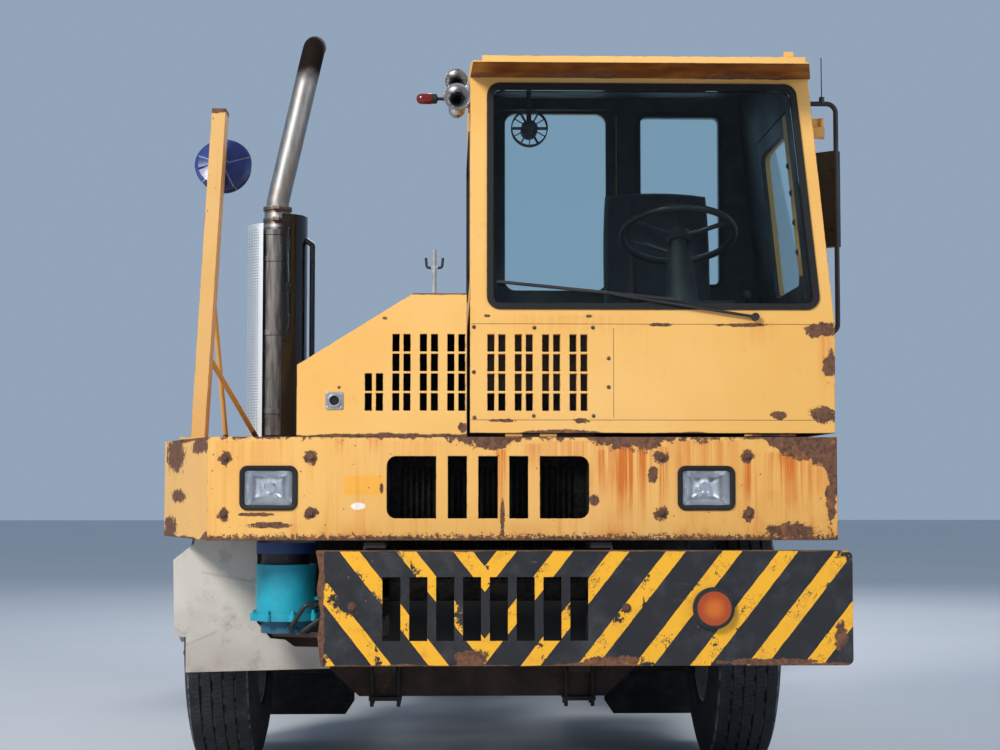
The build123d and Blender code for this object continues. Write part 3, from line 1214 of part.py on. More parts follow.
def make_lift():
    barrels = []
    rods = []
    length = (Vector(0, *LIFT_EYE) - Vector(0, *LIFT_BASE)).length
    for x in (-LIFT_X, LIFT_X):
        base = lift_point(x, 0)
        eye = lift_point(x, length)
        barrel = bar(lift_point(x, 20), lift_point(x, LIFT_BARREL_END), LIFT_BARREL_R)
        barrel = barrel - block((x - 60, x + 60), (base.Y - 60, base.Y + 34), (base.Z - 60, base.Z + 34))
        barrel += bar(base - Vector(34, 0, 0), base + Vector(34, 0, 0), 30.0)
        barrel += bar(lift_point(x, 10), lift_point(x, 80), 26.0)
        barrel -= bar(base - Vector(60, 0, 0), base + Vector(60, 0, 0), LIFT_PIN_R + PIN_GAP)
        barrel -= bar(lift_point(x, LIFT_BORE_START), lift_point(x, LIFT_BARREL_END + 5),
                      LIFT_ROD_R + PIN_GAP)
        barrels.append(barrel)
        rod = bar(lift_point(x, LIFT_ROD_START), lift_point(x, length - 20), LIFT_ROD_R)
        rod += bar(eye - Vector(30, 0, 0), eye + Vector(30, 0, 0), 34.0)
        rod -= bar(eye - Vector(60, 0, 0), eye + Vector(60, 0, 0), LIFT_PIN_R + LIFT_EYE_PLAY)
        rods.append(rod)
    return barrels, rods


pieces["lift_barrels"], pieces["lift_rods"] = make_lift()


# Fifth wheel: a plate with a V throat to the rear, and its lugs
PLATE_HALF_W = 450.0
PLATE_FRONT = 330.0
PLATE_REAR = 430.0
PLATE_T = 40.0


def make_fifth_wheel():
    y = PLATE_Y
    half = PLATE_HALF_W
    face = outline([(-half + 150, y - PLATE_FRONT), (half - 150, y - PLATE_FRONT),
                    (half, y - PLATE_FRONT + 170),
                    (half, y + 210), (half - 130, y + PLATE_REAR), (210, y + PLATE_REAR), (62, y + 110),
                    (-62, y + 110), (-210, y + PLATE_REAR), (-half + 130, y + PLATE_REAR), (-half, y + 210),
                    (-half, y - PLATE_FRONT + 170)])
    plate = along_z(face, PLATE_TOP - PLATE_T, PLATE_TOP)
    plate -= Pos(0, y, PLATE_TOP - PLATE_T / 2) * Cylinder(KINGPIN_BORE_R, PLATE_T + 2)
    ramp = outline([(y + PLATE_REAR - 130, PLATE_TOP), (y + PLATE_REAR + 5, PLATE_TOP - 26),
                    (y + PLATE_REAR + 5, PLATE_TOP + 5),
                    (y + PLATE_REAR - 130, PLATE_TOP + 5)])
    plate -= along_x(ramp, -half - 5, half + 5)
    plate += bar((half - 60, y - 60, PLATE_TOP - 20), (half + 70, y - 60, PLATE_TOP - 20), 9.0)
    plate += bar((half + 62, y - 62, PLATE_TOP - 20), (half + 62, y + 20, PLATE_TOP - 20), 9.0)
    for side in (-1, 1):
        near = side * (BOOM_ARM_X[1] + 6)
        far = side * (BOOM_ARM_X[1] + 50)
        low, high = min(near, far), max(near, far)
        lug = outline([(y - 90, PLATE_TOP - PLATE_T + 5), (y - 34, PLATE_AXIS_Z - 12),
                       (y - 14, PLATE_AXIS_Z - 36),
                       (y + 14, PLATE_AXIS_Z - 36), (y + 34, PLATE_AXIS_Z - 12),
                       (y + 90, PLATE_TOP - PLATE_T + 5)])
        plate += along_x(lug, low, high)
        plate -= bar((low - 5, y, PLATE_AXIS_Z), (high + 5, y, PLATE_AXIS_Z), 22.0 + PIN_GAP)
    return [plate]


pieces["fifth_wheel"] = make_fifth_wheel()


# Cab floor, with its hinge knuckles in front and mounts behind
CAB_HINGE_Y = NOSE_Y + 14.0
CAB_HINGE_Z = DECK_TOP + 7.0
CAB_HINGE_PIN_R = 3.0
CAB_HINGES = [60.0, 900.0]
CAB_KNUCKLE_L = 60.0
CAB_FLOOR_T = 40.0
FLOOR_TOP = CAB_BOTTOM + CAB_FLOOR_T
INSIDE_FRONT = NOSE_Y + CAB_WALL + SEAT_GAP
INSIDE_REAR = CAB_REAR_Y - CAB_WALL - SEAT_GAP


def knuckle_bar(x, length, radius):
    return bar((x, CAB_HINGE_Y, CAB_HINGE_Z), (x + length, CAB_HINGE_Y, CAB_HINGE_Z), radius)


def make_floor():
    floor = block((CAB_INNER_X, CAB_OUTER_X), (INSIDE_FRONT, INSIDE_REAR), (CAB_BOTTOM, FLOOR_TOP))
    for x in CAB_HINGES:
        start = x + CAB_KNUCKLE_L + 0.5
        floor += knuckle_bar(start, CAB_KNUCKLE_L, HINGE_R)
        floor += block((start, start + CAB_KNUCKLE_L), (CAB_HINGE_Y, INSIDE_FRONT + 20),
                       (CAB_HINGE_Z + 2, CAB_BOTTOM - SEAT_GAP))
        floor += block((start, start + CAB_KNUCKLE_L), (INSIDE_FRONT, INSIDE_FRONT + 20),
                       (CAB_HINGE_Z + 2, CAB_BOTTOM + 1))
        floor -= knuckle_bar(start - 1, CAB_KNUCKLE_L + 2, CAB_HINGE_PIN_R + PIN_GAP)
    for x in (100.0, 950.0):
        floor += block((x, x + 80), (INSIDE_REAR - 50, INSIDE_REAR - 5),
                       (DECK_TOP + SEAT_GAP, CAB_BOTTOM + 1))
    return [floor]


pieces["cab_floor"] = make_floor()

# Hinge knuckles and pins on the deck's front edge
cab_hinges = []
for hinge_x in CAB_HINGES:
    hinge = knuckle_bar(hinge_x, CAB_KNUCKLE_L, HINGE_R)
    hinge += knuckle_bar(hinge_x + 2 * CAB_KNUCKLE_L + 1, CAB_KNUCKLE_L, HINGE_R)
    hinge += knuckle_bar(hinge_x, 3 * CAB_KNUCKLE_L + 1, CAB_HINGE_PIN_R)
    cab_hinges.append(hinge)
pieces["deck_plates"] = make_deck_top() + cab_hinges


# Openings of the windows, as corners and a corner radius
SCREEN_TOP = ROOF_FRONT_Z - 20.0
WINDSCREEN = [(-4.0, 1726.0), (1172.0, 1726.0), (1088.0, SCREEN_TOP), (-4.0, SCREEN_TOP)]
REAR_TOP = ROOF_REAR_Z - 60.0
REAR_SILL = 1930.0
TRACK_LOW = CAB_BOTTOM + 48.0
TRACK_HIGH = ROOF_REAR_Z - 15.0
REAR_WINDOW = [(643.0, REAR_SILL), (1016.0, REAR_SILL), (1016.0, REAR_TOP), (643.0, REAR_TOP)]
REAR_DOORWAY = [(65.0, TRACK_LOW + 5.0), (565.0, TRACK_LOW + 5.0), (565.0, REAR_TOP + 10.0),
                (65.0, REAR_TOP + 10.0)]
REAR_DOOR = [(30.0, TRACK_LOW + SEAT_GAP), (600.0, TRACK_LOW + SEAT_GAP), (600.0, TRACK_HIGH),
             (30.0, TRACK_HIGH)]
REAR_DOOR_WINDOW = [(97.0, REAR_SILL), (523.0, REAR_SILL), (523.0, REAR_TOP), (97.0, REAR_TOP)]
SIDE_SILL = 1850.0
SIDE_TOP = ROOF_FRONT_Z - 148.0
SIDE_WINDOW = [(NOSE_Y + 200.0, SIDE_SILL), (CAB_REAR_Y - 220.0, SIDE_SILL), (CAB_REAR_Y - 220.0, SIDE_TOP),
               (NOSE_Y + 200.0, SIDE_TOP)]
DOOR_Y = (NOSE_Y + 270.0, NOSE_Y + 920.0)
DOOR_Z = (1345.0, ROOF_FRONT_Z - 68.0)
DOOR_GAP = 5.0
DOOR_WINDOW = [(DOOR_Y[0] + 70.0, SIDE_SILL), (DOOR_Y[1] - 60.0, SIDE_SILL),
               (DOOR_Y[1] - 60.0, SIDE_TOP + 20.0),
               (DOOR_Y[0] + 70.0, SIDE_TOP + 20.0)]
WINDOW_CORNER = 45.0
ABOVE_CAB = ROOF_REAR_Z + 160.0


def front_section(top):
    """Outline of the cab seen from the front, up to a height."""
    return outline([(CAB_INNER_X, CAB_BOTTOM), (cab_outer(CAB_BOTTOM), CAB_BOTTOM),
                    (CAB_WAIST_X, CAB_WAIST_Z),
                    (cab_outer(top), top), (CAB_INNER_X, top)])


def make_cab_front():
    top = roof_under(NOSE_Y) - SEAT_GAP
    panel = along_y(front_section(top), NOSE_Y, NOSE_Y + CAB_WALL)
    panel -= along_y(outline(WINDSCREEN, WINDOW_CORNER), NOSE_Y - 1, NOSE_Y + CAB_WALL + 1)
    return [cut_slots(panel, CAB_SLOT_X, 4, CAB_WALL + 1, SLOT_ROWS)]


def make_cab_rear():
    top = roof_under(CAB_REAR_Y - CAB_WALL) - SEAT_GAP
    panel = along_y(front_section(top), CAB_REAR_Y - CAB_WALL, CAB_REAR_Y)
    for points, radius in ((REAR_WINDOW, WINDOW_CORNER), (REAR_DOORWAY, 20.0)):
        panel -= along_y(outline(points, radius), CAB_REAR_Y - CAB_WALL - 1, CAB_REAR_Y + 1)
    # Lower and upper tracks of the sliding door
    panel += block((-20.0, 1190.0), (CAB_REAR_Y - 1, CAB_REAR_Y + 42), (TRACK_LOW - 30.0, TRACK_LOW))
    panel += block((-20.0, 1190.0), (CAB_REAR_Y + 38, CAB_REAR_Y + 42), (TRACK_LOW - 30.0, TRACK_LOW + 12.0))
    panel += block((-20.0, 1100.0), (CAB_REAR_Y - 1, CAB_REAR_Y + 42),
                   (TRACK_HIGH + SEAT_GAP, TRACK_HIGH + 8.0))
    panel += block((-20.0, 1100.0), (CAB_REAR_Y + 38, CAB_REAR_Y + 42), (TRACK_HIGH - 13.0, TRACK_HIGH + 8.0))
    return [panel]


pieces["cab_front"] = make_cab_front()
pieces["cab_rear"] = make_cab_rear()


def under_roof(inner, outer):
    """Room between floor and roof, for walls between two places in X."""
    low = FLOOR_TOP + SEAT_GAP
    face = outline([(INSIDE_FRONT, low), (INSIDE_REAR, low),
                    (INSIDE_REAR, roof_under(INSIDE_REAR) - SEAT_GAP),
                    (INSIDE_FRONT, roof_under(INSIDE_FRONT) - SEAT_GAP)])
    return along_x(face, inner, outer)


def wall_section(outer_inset, inner_inset, low, high):
    """Outline of the leaning outer wall between two depths and two heights."""
    heights = [low, CAB_WAIST_Z, high]
    outer = [(cab_outer(z) - outer_inset, z) for z in heights]
    inner = [(cab_outer(z) - inner_inset, z) for z in reversed(heights)]
    return outline(outer + inner)


GRAB_RAIL_Z = (HOOD_TOP_Z + 80.0, SIDE_TOP)


def make_cab_sides():
    right = under_roof(CAB_INNER_X, CAB_INNER_X + CAB_WALL)
    right -= along_x(outline(SIDE_WINDOW, WINDOW_CORNER), CAB_INNER_X - 1, CAB_INNER_X + CAB_WALL + 1)
    left = along_y(wall_section(0.0, CAB_WALL, CAB_BOTTOM, ABOVE_CAB), INSIDE_FRONT, INSIDE_REAR)
    left = left & under_roof(900.0, 1300.0)
    doorway = rectangle((DOOR_Y[0] - DOOR_GAP, DOOR_Z[0] - DOOR_GAP),
                        (DOOR_Y[1] + DOOR_GAP, DOOR_Z[1] + DOOR_GAP))
    left -= along_x(doorway, 900.0, 1300.0)
    for low in DOOR_HINGES:
        left += door_strap(low, -1)
    grab_y = CAB_REAR_Y - 110.0
    right += pipe([(CAB_INNER_X + 5, grab_y, GRAB_RAIL_Z[0]), (CAB_INNER_X - 55, grab_y, GRAB_RAIL_Z[0]),
                   (CAB_INNER_X - 55, grab_y, GRAB_RAIL_Z[1]), (CAB_INNER_X + 5, grab_y, GRAB_RAIL_Z[1])],
                  30.0, 12.0)
    return [right, left]


# Hinges of the side door: height of the joint between the two knuckles
DOOR_HINGES = [DOOR_Z[0] + 95.0, DOOR_Z[0] + 255.0, DOOR_Z[1] - 60.0]
DOOR_HINGE_X = CAB_WAIST_X + 12.0
DOOR_HINGE_Y = DOOR_Y[0] - 10.0
DOOR_KNUCKLE_R = 9.0
DOOR_KNUCKLE_H = 38.0


def door_strap(joint_z, side):
    """One half of a door hinge: the cab's half below the joint, the door's above."""
    if side < 0:
        low, high = joint_z - DOOR_KNUCKLE_H, joint_z - 0.5
        ys = (DOOR_HINGE_Y - 40.0, DOOR_HINGE_Y - 2.0)
    else:
        low, high = joint_z + 0.5, joint_z + DOOR_KNUCKLE_H
        ys = (DOOR_HINGE_Y + 2.0, DOOR_HINGE_Y + 45.0)
    strap = block((cab_outer(joint_z) - 12.0, DOOR_HINGE_X + 2.0), ys, (low, high))
    if side > 0:
        strap -= block((0.0, cab_outer(joint_z) + 1.0), (DOOR_HINGE_Y, DOOR_Y[0]), (low, high))
    return strap + bar((DOOR_HINGE_X, DOOR_HINGE_Y, low), (DOOR_HINGE_X, DOOR_HINGE_Y, high), DOOR_KNUCKLE_R)


pieces["cab_sides"] = make_cab_sides()


def make_side_door():
    panel = along_y(wall_section(0.0, CAB_WALL, CAB_BOTTOM, ABOVE_CAB), DOOR_Y[0], DOOR_Y[1])
    panel = panel & along_x(rectangle((DOOR_Y[0], DOOR_Z[0]), (DOOR_Y[1], DOOR_Z[1])), 900.0, 1300.0)
    panel -= along_x(outline(DOOR_WINDOW, WINDOW_CORNER), 900.0, 1300.0)
    for joint_z in DOOR_HINGES:
        panel += door_strap(joint_z, 1)
    handle_y = DOOR_Y[1] - 50.0
    panel += block((CAB_WAIST_X - 10, CAB_WAIST_X + 22), (handle_y - 10, handle_y + 10), (1690.0, 1706.0))
    panel += block((CAB_WAIST_X + 14, CAB_WAIST_X + 26), (handle_y - 110, handle_y + 10), (1690.0, 1706.0))
    return [panel]


pieces["side_door"] = make_side_door()
grown_window = offset(outline(DOOR_WINDOW, WINDOW_CORNER), amount=-SEAT_GAP)
pieces["side_door_glass"] = [
    along_y(wall_section(17.0, 23.0, CAB_BOTTOM, ABOVE_CAB), DOOR_Y[0], DOOR_Y[1]) & along_x(grown_window,
                                                                                             900.0, 1300.0)
]

# Roof with its visor, which narrows to the front and has a raised lip
ROOF_X = (CAB_INNER_X, 1142.0)
VISOR_X = (CAB_INNER_X + 7.0, 1100.0)
LIP_X = (-25.0, 1088.0)
VISOR_Z = ROOF_FRONT_Z + 9.0
ROOF_RIBS = 4


def make_roof():
    lip_y = NOSE_Y - VISOR_OUT
    rear_y = CAB_REAR_Y + 50.0
    crown_z = ROOF_FRONT_Z + ROOF_T + 20.0
    face = outline([(lip_y, VISOR_Z), (NOSE_Y, ROOF_FRONT_Z), (rear_y, roof_under(rear_y)),
                    (rear_y, roof_under(rear_y) + ROOF_T), (NOSE_Y + 60, crown_z), (lip_y, VISOR_Z + 6)])
    roof = along_x(face, *ROOF_X)
    left, right = ROOF_X
    for side_x, tip_x in ((left, VISOR_X[0]), (right, VISOR_X[1])):
        outside = side_x - 50.0 if side_x == left else side_x + 50.0
        wedge = outline([(side_x, NOSE_Y), (tip_x, lip_y - 1), (outside, lip_y - 1), (outside, NOSE_Y)])
        roof -= along_z(wedge, VISOR_Z - 50, crown_z + 50)
    roof += block(LIP_X, (lip_y, lip_y + 8), (VISOR_Z, VISOR_Z + 23))
    # Stiffening ribs along the top
    pitch = (right - left - 240.0) / (ROOF_RIBS - 1)
    for count in range(ROOF_RIBS):
        x = left + 120.0 + pitch * count
        rib = outline([(NOSE_Y + 90, crown_z - 5), (NOSE_Y + 110, crown_z + 12),
                       (rear_y - 80, roof_under(rear_y) + ROOF_T + 5),
                       (rear_y - 60, roof_under(rear_y) + ROOF_T - 14)])
        roof += along_x(rib, x - 30, x + 30)
    roof += block((1060.0, 1092.0), (NOSE_Y + 45, NOSE_Y + 75), (crown_z - 10, crown_z + 48))
    return [roof]


pieces["cab_roof"] = make_roof()


def gasket_and_glass(points, place, low, high):
    """Rubber ring that fills an opening, and the pane that it holds."""
    edge = offset(outline(points, WINDOW_CORNER), amount=-SEAT_GAP)
    inside = offset(edge, amount=-GASKET)
    ring = place(edge - inside, low - 5.0, high + 5.0)
    middle = (low + high) / 2
    pane = place(offset(inside, amount=-SEAT_GAP), middle - GLASS_T / 2, middle + GLASS_T / 2)
    return ring, pane


screen_ring, screen_pane = gasket_and_glass(WINDSCREEN, along_y, NOSE_Y, NOSE_Y + CAB_WALL)
rear_ring, rear_pane = gasket_and_glass(REAR_WINDOW, along_y, CAB_REAR_Y - CAB_WALL, CAB_REAR_Y - 5.0)
side_ring, side_pane = gasket_and_glass(SIDE_WINDOW, along_x, CAB_INNER_X, CAB_INNER_X + CAB_WALL)
pieces["window_gaskets"] = [screen_ring, rear_ring, side_ring]
pieces["cab_glass"] = [screen_pane, rear_pane, side_pane]


# Sliding rear door
REAR_DOOR_Y = (CAB_REAR_Y + 6.0, CAB_REAR_Y + 36.0)


def make_rear_door():
    panel = along_y(outline(REAR_DOOR), *REAR_DOOR_Y)
    panel -= along_y(outline(REAR_DOOR_WINDOW, WINDOW_CORNER), REAR_DOOR_Y[0] - 1, REAR_DOOR_Y[1] + 1)
    panel += block((545.0, 560.0), (REAR_DOOR_Y[1] - 1, REAR_DOOR_Y[1] + 34), (1700.0, 1716.0))
    panel += block((545.0, 560.0), (REAR_DOOR_Y[1] - 1, REAR_DOOR_Y[1] + 34), (1844.0, 1860.0))
    panel += block((545.0, 560.0), (REAR_DOOR_Y[1] + 24, REAR_DOOR_Y[1] + 36), (1700.0, 1860.0))
    return [panel]


pieces["rear_door"] = make_rear_door()
rear_glass_face = offset(outline(REAR_DOOR_WINDOW, WINDOW_CORNER), amount=-SEAT_GAP)
pieces["rear_door_glass"] = [along_y(rear_glass_face, REAR_DOOR_Y[0] + 12.0, REAR_DOOR_Y[0] + 18.0)]


# Dashboard with the steering column
WHEEL_CENTRE = Vector(724.0, NOSE_Y + 450.0, 2050.0)
WHEEL_TILT = 21.5
WHEEL_AXIS = Vector(0, math.sin(math.radians(WHEEL_TILT)), math.cos(math.radians(WHEEL_TILT)))
WHEEL_R = 210.0
WHEEL_RIM_R = 13.0
WHEEL_SPOKES = 3
DASH_X = (0.0, 1120.0)
SEAT_X = (480.0, 960.0)
SEAT_Y = (CAB_REAR_Y - 620.0, CAB_REAR_Y - 150.0)
SEAT_Z = 1700.0


DASH_HOOD_X = (560.0, 890.0)
DASH_TOP = 1712.0
PEDALS = [(640.0, 70.0), (800.0, 90.0)]
CONSOLE_X = (985.0, 1085.0)
CONSOLE_TOP = 1740.0
SHIFT_LEVER = 120.0
FAN_AT = (150.0, NOSE_Y + 110.0, ROOF_FRONT_Z - 160.0)


def make_dashboard():
    y = INSIDE_FRONT + SEAT_GAP
    face = outline([(y, 1440), (y, DASH_TOP), (y + 190, DASH_TOP - 12), (y + 255, DASH_TOP - 45),
                    (y + 262, DASH_TOP - 70), (y + 235, 1500), (y + 160, 1440)])
    dash = along_x(face, *DASH_X)
    # Instrument hood, gauge recess, column shroud and column
    hood = outline([(y + 60, DASH_TOP - 30), (y + 110, DASH_TOP + 62), (y + 250, DASH_TOP + 48),
                    (y + 268, DASH_TOP - 60)])
    dash += along_x(hood, *DASH_HOOD_X)
    dash -= along_x(outline([(y + 245, DASH_TOP - 50), (y + 225, DASH_TOP + 30), (y + 300, DASH_TOP + 30),
                             (y + 300, DASH_TOP - 50)]), DASH_HOOD_X[0] + 18, DASH_HOOD_X[1] - 18)
    dash += cone(WHEEL_CENTRE - WHEEL_AXIS * 400, WHEEL_CENTRE - WHEEL_AXIS * 70, 75.0, 42.0)
    dash += bar(WHEEL_CENTRE - WHEEL_AXIS * (30 + SEAT_GAP), WHEEL_CENTRE - WHEEL_AXIS * 440, 27.0)
    lever_foot = WHEEL_CENTRE - WHEEL_AXIS * 90
    dash += bar(lever_foot, lever_foot + Vector(-150, 20, 55), 6.0)
    dash += bar(lever_foot + Vector(-130, 17, 47), lever_foot + Vector(-165, 22, 60), 11.0)
    solids = [dash]
    # Pedals on the floor
    floor_z = FLOOR_TOP + SEAT_GAP
    for x, width in PEDALS:
        pedal = outline([(y + 95, floor_z), (y + 175, floor_z), (y + 165, floor_z + 12),
                         (y + 125, floor_z + 16),
                         (y + 60, floor_z + 92), (y + 50, floor_z + 84), (y + 108, floor_z + 14)])
        solids.append(along_x(pedal, x - width / 2, x + width / 2))
    # Gear console beside the seat, with its lever
    low_y = SEAT_Y[0] + 40.0
    console_side = [(low_y, floor_z), (low_y + 330, floor_z), (low_y + 300, CONSOLE_TOP - 20),
                    (low_y + 40, CONSOLE_TOP)]
    console = along_x(outline(console_side, 14.0), *CONSOLE_X)
    lever_x = sum(CONSOLE_X) / 2
    knob_z = CONSOLE_TOP + SHIFT_LEVER
    console += bar((lever_x, low_y + 110, CONSOLE_TOP - 25), (lever_x, low_y + 85, knob_z - 10), 7.0)
    console += Pos(lever_x, low_y + 83, knob_z) * Sphere(20.0)
    solids.append(console)
    # Small fan hung from the roof
    x, fan_y, z = FAN_AT
    fan = bar((x, fan_y, z), (x, fan_y + 70, z), 30.0)
    fan += bar((x, fan_y - 14, z), (x, fan_y + 22, z), 66.0) - bar((x, fan_y - 15, z), (x, fan_y + 23, z),
                                                                   62.0)
    for turn in range(0, 180, 30):
        fan += Pos(x, fan_y - 10, z) * Rot(0, turn, 0) * Box(128.0, 8.0, 3.0)
    for turn in (0, 60, 120):
        fan += Pos(x, fan_y + 18, z) * Rot(0, turn, 0) * Box(128.0, 5.0, 5.0)
    stalk_y = fan_y + 50
    fan += bar((x, stalk_y, z), (x, stalk_y, roof_under(stalk_y) - 12), 9.0)
    fan += block((x - 25, x + 25), (stalk_y - 25, stalk_y + 25),
                 (roof_under(stalk_y) - 16, roof_under(stalk_y - 25) - SEAT_GAP))
    solids.append(fan)
    return solids


def make_steering_wheel():
    wheel = Torus(WHEEL_R, WHEEL_RIM_R) + Pos(0, 0, -8) * Cylinder(42.0, 44.0)
    for count in range(WHEEL_SPOKES):
        angle = math.radians(90.0 + 360.0 / WHEEL_SPOKES * count)
        wheel += bar((0, 0, -12), (WHEEL_R * math.cos(angle), WHEEL_R * math.sin(angle), 0), 9.0)
    return [Plane(origin=WHEEL_CENTRE, x_dir=(1, 0, 0), z_dir=WHEEL_AXIS) * wheel]


pieces["dashboard"] = make_dashboard()
pieces["steering_wheel"] = make_steering_wheel()

# Driver's seat on its pedestal
pieces["seat_base"] = [
    block((SEAT_X[0] + 60, SEAT_X[1] - 60), (SEAT_Y[0] + 60, SEAT_Y[1] - 60),
          (FLOOR_TOP + SEAT_GAP, SEAT_Z - 60.0))
    + block((SEAT_X[0] + 20, SEAT_X[1] - 20), (SEAT_Y[0] + 20, SEAT_Y[1] - 10), (SEAT_Z - 60.0, SEAT_Z))
]


def make_seat():
    front, rear = SEAT_Y
    profile = outline([(front, SEAT_Z + SEAT_GAP), (rear - 112, SEAT_Z + SEAT_GAP),
                       (rear - 112, SEAT_Z + 100),
                       (front + 60, SEAT_Z + 115), (front, SEAT_Z + 85)])
    cushion = along_x(profile, *SEAT_X)
    cushion = fillet(cushion.edges().filter_by(Axis.X).group_by(Axis.Z)[-1], 20.0)
    back = outline([(rear - 111, SEAT_Z + SEAT_GAP), (rear - 10, SEAT_Z + SEAT_GAP),
                    (rear + 60, SEAT_Z + 640),
                    (rear - 10, SEAT_Z + 640)])
    rest = along_x(back, SEAT_X[0] + 10, SEAT_X[1] - 10)
    rest = fillet(rest.edges().filter_by(Axis.X).group_by(Axis.Z)[-1], 24.0)
    return [cushion, rest]


pieces["seat"] = make_seat()


# Mirror on the cab's left front corner
MIRROR_Y = NOSE_Y + 150.0
MIRROR_TUBE_X = 1262.0
MIRROR_TUBE_R = 9.0
MIRROR_Z = (1656.0, ROOF_FRONT_Z - 58.0)
MIRROR_HEAD = (96.0, 30.0, 350.0)
MIRROR_HEAD_AT = (1237.5, MIRROR_Y + 56.0, 2148.0)
MIRROR_TURN = 40.0


def make_cab_mirror():
    low, high = MIRROR_Z
    route = [(cab_outer(high) + 2, MIRROR_Y, high), (MIRROR_TUBE_X, MIRROR_Y, high),
             (MIRROR_TUBE_X, MIRROR_Y, low),
             (cab_outer(low) + 2, MIRROR_Y, low)]
    arm = pipe(route, 34.0, MIRROR_TUBE_R)
    for z in (low, high):
        arm += block((cab_outer(z - 30) + 1.0, cab_outer(z) + 16), (MIRROR_Y - 18, MIRROR_Y + 18),
                     (z - 26, z + 26))
    head = Rot(0, 0, -MIRROR_TURN) * Box(*MIRROR_HEAD)
    arm += Pos(*MIRROR_HEAD_AT) * head
    for z in (MIRROR_HEAD_AT[2] - 110, MIRROR_HEAD_AT[2] + 110):
        arm += bar((MIRROR_TUBE_X, MIRROR_Y - 6, z), (MIRROR_HEAD_AT[0], MIRROR_HEAD_AT[1], z), 7.0)
    # Aerial on the upper bracket
    arm += bar((1212.0, MIRROR_Y, high), (1212.0, MIRROR_Y, high + 24), 10.0)
    arm += bar((1212.0, MIRROR_Y, high), (1211.0, MIRROR_Y, high + 168), 2.0)
    return [arm]


pieces["cab_mirror"] = make_cab_mirror()


# Two air horns and a small red lamp on the cab's inner side: X, Z and bell radius
HORNS = [(-112.0, ROOF_FRONT_Z - 22.0, 42.0), (-112.0, ROOF_FRONT_Z - 108.0, 47.0)]
HORN_Y = NOSE_Y + 12.0


def make_horns():
    solids = []
    for x, z, bell in HORNS:
        trumpet = revolve(outline([(0, 0), (bell, 0), (bell - 4, 12), (24, 60), (13, 130), (11, 230),
                                   (30, 236),
                                   (30, 286), (0, 286)]), axis=Axis.Y)
        solid = Pos(x, HORN_Y, z) * trumpet
        solid += block((x, CAB_INNER_X - SEAT_GAP), (HORN_Y + 132, HORN_Y + 148), (z - 10, z + 10))
        solid += block((CAB_INNER_X - 5, CAB_INNER_X - SEAT_GAP), (HORN_Y + 110, HORN_Y + 170),
                       (z - 26, z + 26))
        solids.append(solid)
    lamp_z = HORNS[0][1] - 22.0
    lamp = block((-258.0, -178.0), (HORN_Y + 210, HORN_Y + 250), (lamp_z - 20, lamp_z + 20))
    lamp += block((-200.0, CAB_INNER_X - SEAT_GAP), (HORN_Y + 222, HORN_Y + 230), (lamp_z - 40, lamp_z - 20))
    solids[0] += lamp
    return solids


pieces["horns"] = make_horns()

# Wiper parked along the windscreen's lower edge
WIPER_PIVOT = (938.0, 1700.0)
WIPER_TIP = (31.0, 1822.0)


def make_wiper():
    y = NOSE_Y - 12.0
    x, z = WIPER_PIVOT
    tip_x, tip_z = WIPER_TIP
    knee = (x + (tip_x - x) * 0.55, z + 24 + (tip_z - z - 24) * 0.55)
    wiper = bar((x, NOSE_Y - SEAT_GAP, z), (x, y - 8, z), 14.0)
    wiper += bar((x, y, z), (knee[0], y, knee[1]), 5.0)
    wiper += bar((x - 260, y + 1, z + 58), (tip_x, y + 1, tip_z), 6.0)
    return [wiper]


pieces["wiper"] = make_wiper()


os.makedirs("parts", exist_ok=True)
for name, solids in pieces.items():
    bodies = [solid for shape in solids for solid in shape.solids()]
    shape = bodies[0] if len(bodies) == 1 else Compound(children=bodies)
    export_step(shape, f"parts/{name}.step")
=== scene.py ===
import math

import bmesh
import bpy
from mathutils import Matrix, Vector


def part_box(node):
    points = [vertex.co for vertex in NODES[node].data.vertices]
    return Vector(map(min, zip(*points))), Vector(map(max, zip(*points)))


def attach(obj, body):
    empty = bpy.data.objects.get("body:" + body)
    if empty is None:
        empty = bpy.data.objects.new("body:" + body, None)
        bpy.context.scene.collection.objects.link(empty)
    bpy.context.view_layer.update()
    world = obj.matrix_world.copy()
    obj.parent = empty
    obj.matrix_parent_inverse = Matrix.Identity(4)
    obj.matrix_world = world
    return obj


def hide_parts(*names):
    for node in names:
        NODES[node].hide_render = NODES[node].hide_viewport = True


# Looks of the terminal tractor, in metres: -Y is its front, +X its left side, and the ground is at Z 0.
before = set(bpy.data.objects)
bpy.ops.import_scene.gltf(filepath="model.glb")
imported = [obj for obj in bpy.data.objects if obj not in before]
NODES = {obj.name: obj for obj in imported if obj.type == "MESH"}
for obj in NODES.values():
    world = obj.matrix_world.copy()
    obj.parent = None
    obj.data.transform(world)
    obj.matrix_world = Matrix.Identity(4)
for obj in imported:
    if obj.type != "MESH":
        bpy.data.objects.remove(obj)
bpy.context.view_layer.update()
NOSE_LOW, NOSE_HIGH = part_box("nose_panel")
BUMPER_LOW, BUMPER_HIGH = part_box("front_bumper")
HOOD_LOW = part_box("hood")[0]
CAB_LOW, CAB_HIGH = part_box("cab_front")
REAR_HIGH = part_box("cab_rear")[1]
FRONT = NOSE_LOW.y


def add_object(name, data):
    made = bpy.data.objects.new(name, data)
    bpy.context.scene.collection.objects.link(made)
    return made


# Camera at the photograph's place and angle
CAMERA_PLACE = (-0.133, -8.950, 1.093)
CAMERA_TURN = math.radians(1.5145)
CAMERA_PITCH = math.radians(3.48)
CAMERA_LENS = 68.08


